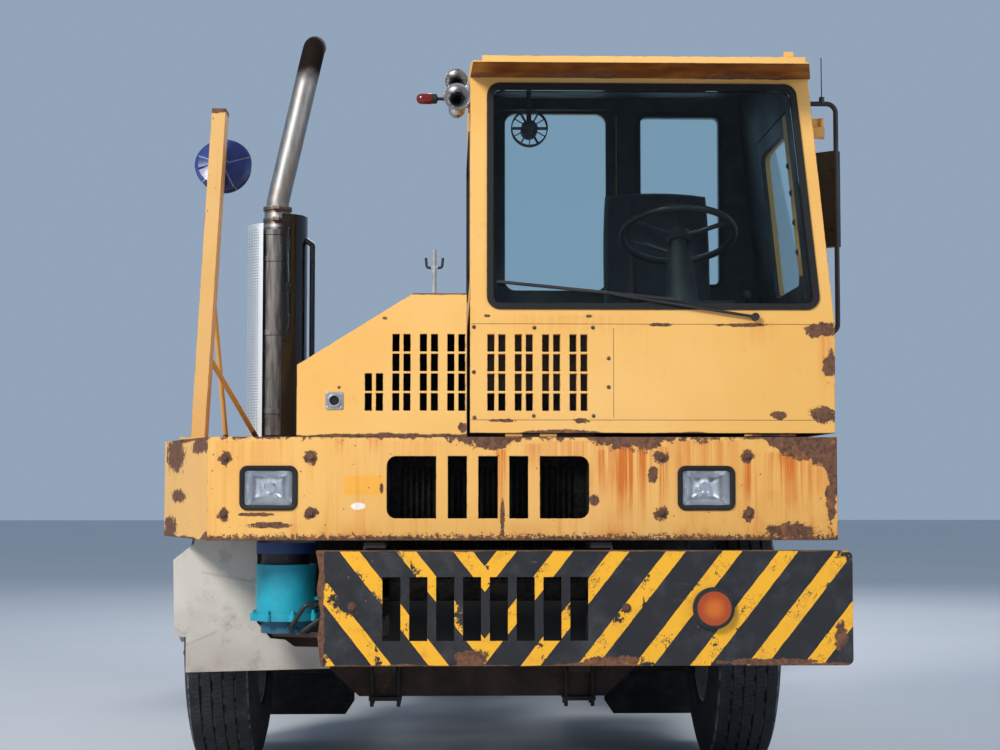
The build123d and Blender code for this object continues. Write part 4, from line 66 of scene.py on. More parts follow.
def make_camera():
    data = bpy.data.cameras.new("camera")
    data.lens = CAMERA_LENS
    data.sensor_width = 36.0
    data.clip_end = 200.0
    camera = add_object("camera", data)
    camera.location = CAMERA_PLACE
    level = math.cos(CAMERA_PITCH)
    aim = Vector((math.sin(CAMERA_TURN) * level, math.cos(CAMERA_TURN) * level, math.sin(CAMERA_PITCH)))
    camera.rotation_euler = aim.to_track_quat("-Z", "Y").to_euler()
    bpy.context.scene.camera = camera


# Numbers and colours worked out by a material's nodes
class Value:
    """Output of a node. Plain arithmetic with it adds the nodes that do it."""

    def __init__(self, look, socket):
        self.look = look
        self.socket = socket

    def __add__(self, value):
        return self.look.math("ADD", self, value)

    def __sub__(self, value):
        return self.look.math("SUBTRACT", self, value)

    def __rsub__(self, value):
        return self.look.math("SUBTRACT", value, self)

    def __mul__(self, value):
        return self.look.math("MULTIPLY", self, value)

    def __truediv__(self, value):
        return self.look.math("DIVIDE", self, value)

    def __gt__(self, value):
        """1 where this is above the other."""
        return self.look.math("GREATER_THAN", self, value)

    def __lt__(self, value):
        """1 where this is below the other."""
        return self.look.math("LESS_THAN", self, value)

    def __abs__(self):
        return self.look.math("ABSOLUTE", self)

    def fade(self, low, high, most=1.0):
        """From 0 where this is low to most where it is high."""
        inputs = {"Value": self, "From Min": low, "From Max": high, "To Max": most}
        return self.look.value("ShaderNodeMapRange", inputs, "Result", interpolation_type="SMOOTHSTEP")


def most(first, *others):
    """The greatest of some values."""
    for value in others:
        first = first.look.math("MAXIMUM", first, value)
    return first


class Look:
    """One material with its shader, and its places on the object as rendered at rest."""

    def __init__(self, name, roughness=0.5, metallic=0.0, edge=0.0):
        self.material = bpy.data.materials.new(name)
        self.material.use_nodes = True
        self.tree = self.material.node_tree
        self.shader = self.tree.nodes["Principled BSDF"]
        self.set("Roughness", roughness)
        self.set("Metallic", metallic)
        places = self.node("ShaderNodeTexCoord").outputs
        self.place = places["Object"]
        self.x, self.y, self.z = self.split(self.place)
        self.facing = self.split(places["Normal"])
        self.rounded = None
        if edge:
            self.rounded = self.value("ShaderNodeBevel", {"Radius": edge}, samples=4)

    def node(self, kind, inputs=None, **settings):
        made = self.tree.nodes.new(kind)
        for name, value in settings.items():
            setattr(made, name, value)
        for name, value in (inputs or {}).items():
            self.feed(made.inputs[name], value)
        return made

    def value(self, kind, inputs, output=0, **settings):
        """Output of a new node."""
        return Value(self, self.node(kind, inputs, **settings).outputs[output])

    def feed(self, socket, value):
        value = getattr(value, "socket", value)
        if isinstance(value, bpy.types.NodeSocket):
            self.tree.links.new(value, socket)
        elif socket.type == "RGBA" and len(value) == 3:
            socket.default_value = (*value, 1.0)
        else:
            socket.default_value = value

    def set(self, name, value):
        self.feed(self.shader.inputs[name], value)

    def split(self, vector):
        parts = self.node("ShaderNodeSeparateXYZ", {"Vector": vector}).outputs
        return [Value(self, part) for part in parts]

    def math(self, operation, *values, clamp=False):
        return self.value("ShaderNodeMath", dict(enumerate(values)), operation=operation, use_clamp=clamp)

    def vector(self, operation, *values, output=0):
        return self.value("ShaderNodeVectorMath", dict(enumerate(values)), output, operation=operation)

    def stretched(self, stretch):
        return self.vector("MULTIPLY", self.place, stretch) if stretch != (1, 1, 1) else self.place

    def noise(self, scale, detail=3.0, roughness=0.55, stretch=(1, 1, 1), distortion=0.0):
        inputs = {"Vector": self.stretched(stretch), "Scale": scale, "Detail": detail,
            "Roughness": roughness, "Distortion": distortion}
        return self.value("ShaderNodeTexNoise", inputs, "Fac")

    def cells(self, scale):
        return self.value("ShaderNodeTexVoronoi", {"Vector": self.place, "Scale": scale}, "Distance")

    def mix(self, low, high, share):
        return self.value("ShaderNodeMix", {0: share, 6: low, 7: high}, 2, data_type="RGBA")

    def blend(self, low, high, share):
        """Plain number between two others."""
        return self.value("ShaderNodeMix", {0: share, 2: low, 3: high}, data_type="FLOAT")

    def reach(self, centre, axis):
        """Distance from a line along one axis, X, Y or Z, through the centre."""
        flat = [0.0 if name == axis else 1.0 for name in "XYZ"]
        level = self.vector("MULTIPLY", self.vector("SUBTRACT", self.place, centre), flat)
        return self.vector("LENGTH", level, output="Value")

    def spot(self, centre, size):
        """1 at a place, falling to 0 at an ellipsoid round it."""
        scaled = self.vector("MULTIPLY", self.vector("SUBTRACT", self.place, centre),
            [1.0 / s for s in size])
        return self.math("SUBTRACT", 1.0, self.vector("LENGTH", scaled, output="Value"), clamp=True)

    def line(self, start, end, half_width):
        """1 on a thin line between two places on a front face, given as X and Z."""
        run_x, run_z = end[0] - start[0], end[1] - start[1]
        length = math.hypot(run_x, run_z)
        from_x, from_z = self.x - start[0], self.z - start[1]
        along = from_x * (run_x / length) + from_z * (run_z / length)
        off = from_x * (run_z / length) - from_z * (run_x / length)
        return (abs(along - length / 2) < length / 2) * abs(off).fade(half_width, 0.0)

    def profile(self, value, stops, most):
        """Number read from a curve given as (value, number)."""
        low, high = stops[0][0], stops[-1][0]
        ramp = self.node("ShaderNodeValToRGB", {"Fac": (value - low) / (high - low)})
        elements = ramp.color_ramp.elements
        while len(elements) < len(stops):
            elements.new(0.5)
        for element, (at, number) in zip(elements, stops):
            element.position = (at - low) / (high - low)
            element.color = (number / most,) * 3 + (1.0,)
        return Value(self, ramp.outputs["Color"]) * most

    def bump(self, height, depth, strength=1.0):
        inputs = {"Height": height, "Distance": depth, "Strength": strength}
        if self.rounded:
            inputs["Normal"] = self.rounded
        self.rounded = self.value("ShaderNodeBump", inputs)
        self.set("Normal", self.rounded)

    def edges(self):
        """1 along the sharp edges that the rounding smooths."""
        true = self.node("ShaderNodeNewGeometry").outputs["True Normal"]
        same = self.vector("DOT_PRODUCT", true, self.rounded, output="Value")
        return self.math("SUBTRACT", 1.0, abs(same), clamp=True)


# Colours of the paint, its rust and its stains
YELLOW = (0.80, 0.43, 0.105)
YELLOW_PALE = (0.86, 0.50, 0.16)
STRIPE_YELLOW = (0.86, 0.42, 0.018)
RUST_DARK = (0.075, 0.035, 0.022)
RUST_BROWN = (0.17, 0.075, 0.04)
RUST_ORANGE = (0.50, 0.17, 0.03)
STAIN_ORANGE = (0.60, 0.15, 0.012)
DULL_YELLOW = (0.42, 0.26, 0.11)


def rusted(look, paint, rust, stain, roughness=0.42, chip=0.0006):
    """Paint with rust where rust is 1 and orange stains where stain is above 0."""
    speckle = look.noise(70.0, 5.0, 0.7)
    rust_colour = look.mix(RUST_DARK, RUST_BROWN, speckle.fade(0.35, 0.6))
    rust_colour = look.mix(rust_colour, RUST_ORANGE, look.noise(24.0, 4.0, 0.65).fade(0.55, 0.78, 0.6))
    stained = look.mix(paint, STAIN_ORANGE, look.math("MULTIPLY", stain, 0.75, clamp=True))
    look.set("Base Color", look.mix(stained, rust_colour, rust))
    paint_roughness = look.blend(roughness, roughness + 0.16, look.noise(6.0).fade(0.35, 0.7))
    look.set("Roughness", look.blend(paint_roughness, 0.9, rust))
    grain = speckle * rust * 0.8
    skin = look.noise(9.0, 2.0) * 0.5
    look.bump(skin - rust + grain, chip, 0.9)
    look.set("Specular IOR Level", 0.45)


def aged_yellow(look):
    """Colour of the yellow paint, paler where sun and brushing have faded it."""
    broad = look.noise(1.3, 3.0)
    fine = look.noise(14.0, 4.0, 0.65)
    faded = look.mix(YELLOW, YELLOW_PALE, broad.fade(0.35, 0.68, 0.8))
    return look.mix(faded, (0.58, 0.31, 0.085), fine.fade(0.58, 0.8, 0.35))


def edge_rust(look, low, high, seed, amount=1.0):
    """Rust that eats in from a panel's lower and upper edges and its sharp corners."""
    ragged = look.noise(17.0 + seed, 5.0, 0.62)
    patchy = look.noise(2.6 + 0.1 * seed, 2.0, 0.5)
    reach = ragged * patchy.fade(0.35, 0.7) * (0.06 * amount)
    from_low = look.z - low
    from_high = high - look.z
    bottom = (reach - from_low).fade(0.0, 0.004)
    top = (reach * 0.45 - from_high).fade(0.0, 0.004)
    corner = look.edges() * ragged.fade(0.5, 0.62)
    return most(bottom, top, corner.fade(0.03, 0.08))


def pits(look, scale, rare):
    """Small scattered spots of rust."""
    return look.cells(scale).fade(rare, rare * 0.7)


def rust_spot(look, centre, size):
    """Rust with a ragged rim round a place."""
    ragged = look.noise(32.0, 6.0, 0.78) * 1.5 - 0.28
    return (look.spot(centre, size) - ragged).fade(-0.03, 0.03)


def seen_on(node, x, z):
    """Place where the photograph's view through a point of the nose's front plane meets a node."""
    aim = Vector((x, FRONT, z))
    start = Vector(CAMERA_PLACE)
    found, place, _, _ = NODES[node].ray_cast(start, (aim - start).normalized())
    return place if found else aim


def streak(look, x, top, half_width, length, strength):
    """Rust run down a front panel by rain, in fine upright lines."""
    lines = look.noise(70.0, 2.0, stretch=(1, 1, 0.03)).fade(0.3, 0.62)
    side = abs(look.x - x).fade(half_width, half_width * 0.2)
    down = look.z.fade(top - length, top)
    below = look.z.fade(top + 0.01, top)
    return side * down * lines * below * strength


# Cab walls lean in above the waist; the faces inside the cab and hood are painted near black as shade
CAB_WAIST_Z = 1.662
CAB_LEAN = 0.0998
INSIDE_INSET = 0.022
PAINTED_SHADE_INSIDE = (0.009, 0.010, 0.012)
CAB_MIDDLE = (0.58, -1.70, 1.95)
HOOD_MIDDLE = (-0.35, -1.70, 1.40)
DOOR_STILE_Y = -2.012
DOOR_STILE_Z = 1.88


def inward(look, centre):
    """1 on faces that look towards a point."""
    x, y, z = [facing * (place - axis) for facing, place, axis in zip(look.facing, centre,
        (look.x, look.y, look.z))]
    return x + y + z > 0.0


def cab_inside_faces(look):
    """1 on every face inside the cab."""
    above = most(look.z - CAB_WAIST_Z, 0.0)
    left = REAR_HIGH.x - INSIDE_INSET - above * CAB_LEAN
    rise = (REAR_HIGH.z - CAB_HIGH.z) / (REAR_HIGH.y - CAB_LOW.y)
    ceiling = (look.y - CAB_LOW.y) * rise + (CAB_HIGH.z + INSIDE_INSET)
    inside = inward(look, CAB_MIDDLE) * (look.x < left)
    inside = inside * (look.x > CAB_LOW.x + INSIDE_INSET)
    inside = inside * (look.y > CAB_LOW.y + INSIDE_INSET)
    inside = inside * (look.y < REAR_HIGH.y - INSIDE_INSET)
    return inside * (look.z < ceiling)


def hood_inside_faces(look):
    """1 on the faces inside the hood."""
    return inward(look, HOOD_MIDDLE)


def door_inside_faces(look):
    """1 inside the side door, apart from its front stile that stays yellow above the sill."""
    stile = (look.y < DOOR_STILE_Y) * (look.z > DOOR_STILE_Z)
    return cab_inside_faces(look) * (1.0 - stile)


def slide_inside_faces(look):
    """1 on the sliding door's faces towards the cab."""
    return look.facing[1] < -0.5


def yellow_panel(name, node, seed, amount=1.0, spots=(), stains=(), seams=(), painted_shade_faces=None, dirt_and_painted_shade=False,
        dull=0.0):
    """Yellow paint for one panel, with rust at its own edges and at the given spots."""
    look = Look(name, edge=0.004)
    low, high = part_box(node)
    rust = most(edge_rust(look, low.z, high.z, seed, amount), pits(look, 19.0 + seed, 0.05 * amount))
    rust = most(rust, *[rust_spot(look, *spot) for spot in spots])
    stain = look.noise(30.0, 3.0, stretch=(1, 1, 0.06)).fade(0.62, 0.8, 0.3 * amount)
    stain = most(stain, *[streak(look, *place) for place in stains])
    paint = look.mix(aged_yellow(look), DULL_YELLOW, dull)
    if dirt_and_painted_shade:
        # Darker on the faces that look down: dirt of years, with painted shade
        below = look.facing[2].fade(-0.3, -0.7)
        darkened = look.mix((0.17, 0.038, 0.002), (0.34, 0.095, 0.006),
            look.noise(9.0, 4.0).fade(0.35, 0.7))
        paint = look.mix(paint, darkened, below)
    if seams:
        joint = most(*[look.line(start, end, 0.0022) for start, end in seams])
        paint = look.mix(paint, (0.11, 0.055, 0.02), joint * 0.85)
        look.bump(joint, -0.0012, 0.7)
    if painted_shade_faces:
        # Faces inside painted near black, with a little noise: painted shade
        inside = painted_shade_faces(look)
        painted_inside_shade = look.mix(PAINTED_SHADE_INSIDE, (0.03, 0.031, 0.034), look.noise(12.0, 4.0).fade(0.4, 0.7))
        paint = look.mix(paint, painted_inside_shade, inside)
        rust = rust * (1.0 - inside)
        stain = stain * (1.0 - inside)
    rusted(look, paint, rust, stain)
    return look.material


# Places on the nose panel, X and depth of the rust below its top edge
NOSE_TOP_RUST = [(-1.13, 0.012), (-0.98, 0.006), (-0.9, 0.004), (-0.4, 0.004), (-0.14, 0.006),
    (-0.08, 0.022), (0.0, 0.05), (0.06, 0.038), (0.14, 0.006), (0.34, 0.006), (0.38, 0.03),
    (0.45, 0.042), (0.57, 0.05), (0.62, 0.014), (0.9, 0.006), (0.97, 0.016), (1.03, 0.06), (1.12, 0.085),
    (1.18, 0.11), (1.205, 0.18), (1.23, 0.23)]
LAMP_BOLTS = [(-0.914, 1.204), (-0.616, 1.208), (-0.918, 1.008), (-0.617, 1.011), (0.606, 1.206),
    (0.908, 1.21), (0.606, 1.012), (0.91, 1.009)]
# X, top Z, half width, length and strength of each run of rust
NOSE_STREAKS = [(0.48, 1.245, 0.075, 0.34, 2.2), (0.545, 1.245, 0.045, 0.36, 1.5),
    (0.61, 1.24, 0.026, 0.32, 1.8), (0.908, 1.23, 0.024, 0.3, 1.6), (1.07, 1.22, 0.15, 0.3, 1.3),
    (0.045, 1.23, 0.026, 0.34, 1.6), (0.4, 1.23, 0.045, 0.26, 1.2), (-0.515, 1.27, 0.03, 0.09, 1.0),
    (-0.395, 1.27, 0.04, 0.09, 0.9), (0.16, 1.25, 0.05, 0.14, 0.8), (0.75, 1.26, 0.2, 0.36, 0.8),
    (0.36, 1.26, 0.3, 0.36, 0.7), (-0.3, 1.26, 0.35, 0.3, 0.3), (-0.85, 1.26, 0.2, 0.24, 0.4),
    (-0.62, 1.2, 0.02, 0.16, 0.7)]
# X and Z as seen on the nose's front plane, with half sizes, of each patch of rust
NOSE_RUST = [(-0.8, 1.008, 0.11, 0.012), (-0.76, 0.97, 0.16, 0.02), (1.06, 0.953, 0.17, 0.045),
    (0.576, 1.145, 0.03, 0.055), (0.37, 1.058, 0.035, 0.035), (0.05, 1.0, 0.014, 0.12),
    (-0.37, 1.1, 0.012, 0.03), (1.2, 1.05, 0.035, 0.16)]
# The same for the tapered corner beside it
TAPER_RUST = [(-1.085, 1.215, 0.13, 0.12), (-1.075, 1.072, 0.09, 0.045), (-1.1, 0.965, 0.08, 0.08),
    (-1.0, 1.245, 0.09, 0.05)]
# Fresher patch of paint, and a pale scuff below it
PATCH_PLACE, PATCH_SIZE = (-0.434, 1.109), (0.068, 0.033)
SCUFF_PLACE = (-0.452, FRONT, 1.037)


def nose_finish():
    look = Look("nose_yellow", edge=0.004)
    ragged = (look.noise(26.0, 7.0, 0.75) - 0.5) * 0.13
    depth = look.profile(look.x, NOSE_TOP_RUST, 0.25) + ragged
    from_top = NOSE_HIGH.z - look.z
    top = (depth - from_top).fade(0.0, 0.006)
    speckle = (look.z - NOSE_LOW.z + look.noise(60.0, 5.0, 0.8) * 0.11 - 0.07).fade(0.004, -0.002)
    rust = most(top, edge_rust(look, NOSE_LOW.z, NOSE_HIGH.z, 1.0, 0.35), pits(look, 24.0, 0.075),
        speckle)
    for x, z, half_w, half_h in [(*place, 0.042, 0.044) for place in LAMP_BOLTS] + NOSE_RUST:
        rust = most(rust, rust_spot(look, (x, FRONT, z), (half_w, 0.2, half_h)))
    stain = look.noise(36.0, 3.0, stretch=(1, 1, 0.05)).fade(0.52, 0.8, 0.55)
    for place in NOSE_STREAKS:
        stain = most(stain, streak(look, *place))
    blotches = look.noise(7.0, 5.0, 0.7, stretch=(1, 1, 0.45)).fade(0.42, 0.72)
    stain = stain + blotches * look.x.fade(0.2, 0.6) * 0.45
    low = look.z.fade(NOSE_LOW.z + 0.09, NOSE_LOW.z)
    stain = stain + low * blotches * 0.6
    paint = aged_yellow(look)
    patch_x = abs(look.x - PATCH_PLACE[0]) < PATCH_SIZE[0]
    patch = patch_x * (abs(look.z - PATCH_PLACE[1]) < PATCH_SIZE[1])
    paint = look.mix(paint, (0.88, 0.4, 0.035), patch * 0.8)
    scuff = (look.spot(SCUFF_PLACE, (0.035, 0.2, 0.018)) * look.noise(40.0, 3.0)).fade(0.12, 0.2)
    paint = look.mix(paint, (0.9, 0.88, 0.82), scuff)
    rusted(look, paint, rust, stain)
    return look.material


# Warning stripes of the bumper, mirrored about their own centre
STRIPE_CENTRE_X = -0.015
STRIPE_SLOPE = 0.788
STRIPE_PITCH = 0.191
STRIPE_WIDTH = 0.067
STRIPE_START = 0.127
BUMPER_RUST = [(-0.06, 0.53, 0.1, 0.05), (0.42, 0.52, 0.2, 0.03), (0.95, 0.515, 0.3, 0.02),
    (1.19, 0.6, 0.04, 0.08)]
# Black grime over the stripes, as X and Z with half sizes
BUMPER_GRIME = [(-0.450, 0.715, 0.16, 0.075), (-0.575, 0.830, 0.09, 0.16), (-0.580, 0.560, 0.07, 0.12)]


def bumper_finish():
    look = Look("bumper_stripes", edge=0.003)
    wobble = (look.noise(30.0, 3.0) - 0.5) * 0.006
    side = abs(look.x - STRIPE_CENTRE_X)
    rise = (look.z - (BUMPER_LOW.z + 0.01)) * STRIPE_SLOPE
    along = side - rise + wobble + (10 * STRIPE_PITCH - STRIPE_START)
    stripe = look.math("FRACT", along / STRIPE_PITCH) < STRIPE_WIDTH / STRIPE_PITCH
    chips = look.noise(15.0, 8.0, 0.75).fade(0.585, 0.6)
    cracks = abs(look.noise(11.0, 4.0, 0.6, distortion=1.2) - 0.5).fade(0.006, 0.002)
    cracks = cracks * look.noise(7.0).fade(0.48, 0.56)
    for x, z, half_w, half_h in BUMPER_GRIME:
        chips = most(chips, rust_spot(look, (x, BUMPER_LOW.y, z), (half_w, 0.2, half_h)))
    stripe = stripe * (look.y < BUMPER_LOW.y + 0.006) * (1.0 - most(chips, cracks))
    dirt = look.noise(8.0, 5.0, 0.7).fade(0.45, 0.75)
    dark = look.mix((0.012, 0.0125, 0.015), (0.04, 0.04, 0.045), dirt)
    scratches = look.noise(60.0, 3.0, stretch=(0.2, 1, 1), distortion=0.6).fade(0.68, 0.78, 0.5)
    dark = look.mix(dark, (0.16, 0.16, 0.17), scratches)
    yellow = look.mix(STRIPE_YELLOW, (0.7, 0.33, 0.03), look.noise(20.0, 4.0).fade(0.5, 0.75))
    paint = look.mix(dark, yellow, stripe)
    torn = look.x.fade(BUMPER_LOW.x + 0.045, BUMPER_LOW.x + 0.012)
    torn = (torn + look.noise(30.0, 4.0)).fade(0.95, 1.1)
    rust = most(torn, edge_rust(look, BUMPER_LOW.z, BUMPER_HIGH.z, 4.0, 0.5), pits(look, 9.0, 0.05))
    for x, z, half_w, half_h in BUMPER_RUST:
        rust = most(rust, rust_spot(look, (x, BUMPER_LOW.y, z), (half_w, 0.2, half_h)))
    rusted(look, paint, rust, 0.0, 0.45)
    look.bump(look.noise(2.5, 2.0), 0.012, 0.5)
    return look.material


def plain_paint(name, colour, second, roughness, rust_amount, metallic=0.0, edge=0.003):
    """Worn paint on a chassis part: two tones, rust at its edges and scattered spots."""
    look = Look(name, metallic=metallic, edge=edge)
    paint = look.mix(colour, second, look.noise(5.0, 5.0, 0.65).fade(0.38, 0.7))
    worn = look.edges() * look.noise(26.0, 4.0).fade(0.42, 0.6)
    patches = look.noise(11.0, 6.0, 0.7).fade(0.7 - 0.12 * rust_amount, 0.76, rust_amount)
    rust = most(worn.fade(0.02, 0.08, rust_amount), patches)
    rusted(look, paint, rust, 0.0, roughness, 0.0005)
    return look.material


def metal(name, colour, second, roughness, dirt):
    """Bare metal with a brushed or cast grain and dirt in patches."""
    look = Look(name, metallic=1.0, edge=0.002)
    grain = look.noise(60.0, 4.0, 0.6)
    tone = look.mix(colour, second, grain.fade(0.3, 0.7))
    darkened = look.noise(9.0, 5.0, 0.65).fade(0.45, 0.75, dirt)
    look.set("Base Color", look.mix(tone, (0.05, 0.042, 0.036), darkened))
    look.set("Roughness", look.blend(roughness, 0.85, darkened))
    look.bump(grain, 0.0004, 0.6)
    return look.material


def rubber(name, colour=(0.016, 0.016, 0.017), dust=0.35, roughness=0.7):
    look = Look(name)
    dusty = look.noise(7.0, 5.0, 0.7).fade(0.4, 0.75, dust)
    look.set("Base Color", look.mix(colour, (0.1, 0.097, 0.09), dusty))
    look.set("Roughness", look.blend(roughness, 0.92, dusty))
    look.bump(look.noise(160.0, 3.0), 0.0004, 0.6)
    look.set("Specular IOR Level", 0.35)
    return look.material


def plastic(name, colour, second, roughness, grain=220.0):
    look = Look(name, edge=0.003)
    look.set("Base Color", look.mix(colour, second, look.noise(5.0, 4.0).fade(0.4, 0.75)))
    look.set("Roughness", look.blend(roughness, roughness + 0.2, look.noise(11.0, 4.0).fade(0.4, 0.7)))
    look.bump(look.cells(grain), 0.0003, 0.5)
    return look.material


def glass(name, tint):
    """Thin pane that the view passes through, with a film of dust and wiped dirt."""
    look = Look(name)
    look.set("Base Color", tint)
    film = look.noise(7.0, 5.0, 0.7).fade(0.45, 0.85, 0.12)
    look.set("Roughness", look.blend(0.03, 0.35, film))
    look.set("Transmission Weight", 1.0)
    look.set("IOR", 1.2)
    look.bump(look.noise(3.0), 0.0003, 0.3)
    return look.material


# Exhaust: heights where the muffler ends, where soot begins on the stack, and of two rings burnt brown
MUFFLER_TOP = 2.236
SOOT = (2.86, 2.95)
HEAT_BANDS = [2.262, 2.312]


def exhaust_finish():
    look = Look("exhaust_steel", metallic=1.0, edge=0.002)
    grain = look.noise(60.0, 4.0, 0.6, stretch=(1, 1, 0.12))
    muffler = look.mix((0.085, 0.08, 0.078), (0.2, 0.19, 0.185), grain.fade(0.3, 0.7))
    muffler = look.mix(muffler, (0.1, 0.045, 0.028), look.noise(8.0, 5.0, 0.7).fade(0.52, 0.68, 0.75))
    stack = look.mix((0.27, 0.265, 0.26), (0.38, 0.375, 0.375), grain.fade(0.3, 0.7))
    stack = look.mix(stack, (0.3, 0.22, 0.15), look.noise(6.0, 4.0, 0.65).fade(0.5, 0.72, 0.55))
    above = look.z > MUFFLER_TOP
    tone = look.mix(muffler, stack, above)
    bands = most(*[abs(look.z - height) < 0.012 for height in HEAT_BANDS])
    tone = look.mix(tone, (0.16, 0.1, 0.06), bands * 0.8)
    smoke = look.z + (look.noise(9.0, 4.0) - 0.5) * 0.1
    soot = smoke.fade(*SOOT)
    look.set("Base Color", look.mix(tone, (0.028, 0.02, 0.017), soot))
    rough = look.blend(look.blend(0.45, 0.44, above), 0.85, soot * 0.8)
    look.set("Roughness", rough + grain * 0.1)
    look.bump(grain, 0.0004, 0.6)
    return look.material


# Air dryer: axis, radius of its body, and the heights where its colour changes
DRYER_AXIS = (-0.722, FRONT + 0.25, 0.0)
DRYER_BODY_R = 0.118
DRYER_LEVELS = (0.584, 0.628, 0.828, 0.866)


def dryer_finish():
    look = Look("dryer_blue", edge=0.003)
    foot, flange, body, neck = DRYER_LEVELS
    tone = look.mix((0.012, 0.36, 0.47), (0.014, 0.26, 0.36), look.noise(9.0, 5.0, 0.65).fade(0.4, 0.7))
    tone = look.mix(tone, (0.016, 0.1, 0.16), look.z < flange)
    # Near black above the body and dark blue above the neck: painted shadow over the dryer's top
    tone = look.mix(tone, (0.014, 0.014, 0.016), look.z > body)
    tone = look.mix(tone, (0.02, 0.05, 0.17), look.z > neck)
    low = look.z < foot
    tone = look.mix(tone, (0.12, 0.05, 0.035), low)
    outside = look.reach(DRYER_AXIS, "Z") > DRYER_BODY_R + 0.012
    tone = look.mix(tone, (0.014, 0.014, 0.015), outside)
    rust = look.noise(16.0, 5.0, 0.7).fade(0.62, 0.7, 0.7)
    rusted(look, tone, rust, 0.0, 0.38)
    return look.material


# Creases pressed into the splash shield, as X and Z of their ends
SHIELD_CREASES = [((-1.049, 0.790), (-0.851, 0.750)), ((-0.992, 0.574), (-1.107, 0.525))]


def shield_finish():
    look = Look("shield_sheet", roughness=0.55, edge=0.002)
    tone = look.mix((0.47, 0.43, 0.38), (0.6, 0.56, 0.5), look.noise(3.0, 4.0).fade(0.35, 0.7))
    dirt = look.noise(11.0, 6.0, 0.7).fade(0.52, 0.75, 0.7)
    tone = look.mix(tone, (0.26, 0.21, 0.17), dirt)
    crease = most(*[look.line(start, end, 0.009) for start, end in SHIELD_CREASES])
    # Darker along the creases: painted shade, besides the creases' bumps
    tone = look.mix(tone, (0.36, 0.32, 0.28), crease * 0.45)
    low = look.z.fade(0.56, 0.42)
    tone = look.mix(tone, (0.3, 0.24, 0.19), low * look.noise(6.0, 4.0).fade(0.35, 0.6) * 0.7)
    look.set("Base Color", tone)
    look.bump(crease * 0.15 + look.noise(3.0, 2.0) * 0.6, 0.006, 0.8)
    return look.material


# Marker lamp in the bumper, and where the red lenses at the back begin
MARKER_PLACE = (0.757, BUMPER_LOW.y, 0.695)
MARKER_LENS_R = 0.0570
RED_SIDE_Y = 1.0


def lens_finish():
    """Amber lens in its dark grommet in front, and red lenses at the back."""
    look = Look("marker_lenses", roughness=0.16)
    off = look.reach(MARKER_PLACE, "Y")
    rings = look.math("SINE", off * 900.0)
    # Lighter amber towards the middle: painted highlight inside the lens
    amber = look.mix((0.62, 0.14, 0.006), (0.4, 0.055, 0.004), off.fade(0.01, 0.05))
    rear = look.y > RED_SIDE_Y
    lens = look.mix(amber, (0.42, 0.01, 0.008), rear)
    grommet = (off > MARKER_LENS_R) * (1.0 - rear)
    look.set("Base Color", look.mix(lens, (0.016, 0.015, 0.015), grommet))
    look.set("Roughness", look.blend(0.14, 0.6, grommet))
    look.bump(rings * (1.0 - grommet), 0.0006, 0.7)
    look.set("Coat Weight", 0.4)
    return look.material


# Back of the mast's mirror: its middle, and ends of its ribs, painted pale as highlights, measured from
# there, as X and Z
MIRROR_MIDDLE = (-1.001, 2.333)
MIRROR_RIBS = [(0.100, 0.030), (0.045, -0.090), (-0.075, -0.070), (-0.095, 0.035)]


def mirror_finish():
    look = Look("mirror_blue", roughness=0.25, edge=0.002)
    tone = look.mix((0.012, 0.022, 0.12), (0.025, 0.045, 0.2), look.noise(6.0, 4.0).fade(0.35, 0.7))
    x, z = MIRROR_MIDDLE
    ribs = most(*[look.line(MIRROR_MIDDLE, (x + run, z + rise), 0.0035) for run, rise in MIRROR_RIBS])
    # Pale lines along the ribs: painted highlight
    tone = look.mix(tone, (0.35, 0.4, 0.55), ribs * 0.75)
    look.set("Base Color", tone)
    look.set("Roughness", look.blend(0.22, 0.4, look.noise(11.0, 4.0).fade(0.4, 0.7)))
    look.bump(look.noise(30.0, 3.0), 0.0004, 0.4)
    return look.material


# Axis of the hose pole, and the height where its black foot ends
POLE_PLACE = (-0.204, -0.525, 0.0)
POLE_R = 0.016
POLE_FOOT_TOP = 1.0


def pole_finish():
    """Pale galvanised pole with black hooks and braces."""
    look = Look("hose_pole_steel", roughness=0.45, edge=0.002)
    pole = look.reach(POLE_PLACE, "Z") < POLE_R
    pale = look.mix((0.34, 0.36, 0.39), (0.48, 0.5, 0.53), look.noise(30.0, 4.0).fade(0.35, 0.7))
    dark = look.mix((0.012, 0.013, 0.018), (0.03, 0.03, 0.035), look.noise(12.0, 4.0).fade(0.35, 0.7))
    tone = look.mix(dark, pale, pole * (look.z > POLE_FOOT_TOP))
    rusted(look, tone, look.noise(20.0, 5.0, 0.7).fade(0.62, 0.7, 0.6), 0.0, 0.45)
    return look.material


def tyre_finish(name, node):
    """Rubber with sipes cut into the ribs and grey dust packed in the grooves."""
    low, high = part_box(node)
    centre = ((low.x + high.x) / 2, (low.y + high.y) / 2, (low.z + high.z) / 2)
    radius = (high.z - low.z) / 2
    look = Look(name, roughness=0.72)
    off = look.reach(centre, "X")
    turn = look.math("ARCTAN2", look.z - centre[2], look.y - centre[1])
    wave = look.math("SINE", turn * 150.0 + look.x * 90.0)
    tread = off > radius - 0.003
    sipes = wave.fade(0.8, 0.95) * tread
    groove = (off > radius - 0.016) * (off < radius - 0.006)
    dusty = look.noise(7.0, 5.0, 0.7).fade(0.4, 0.75, 0.35)
    tone = look.mix((0.013, 0.015, 0.019), (0.085, 0.085, 0.085), dusty)
    tone = look.mix(tone, (0.17, 0.17, 0.175), groove * look.noise(30.0, 4.0).fade(0.4, 0.6) * 0.8)
    # Near black in the sipes: painted shade in the cuts
    tone = look.mix(tone, (0.006, 0.006, 0.006), sipes)
    look.set("Base Color", tone)
    mould = look.math("SINE", off * 420.0)
    side = abs(mould).fade(0.92, 1.0) * (off < radius - 0.06) * 0.5
    height = sipes * -1.0 + side + look.noise(120.0, 3.0) * 0.15
    look.bump(height, 0.003, 0.7)
    look.set("Specular IOR Level", 0.35)
    return look.material


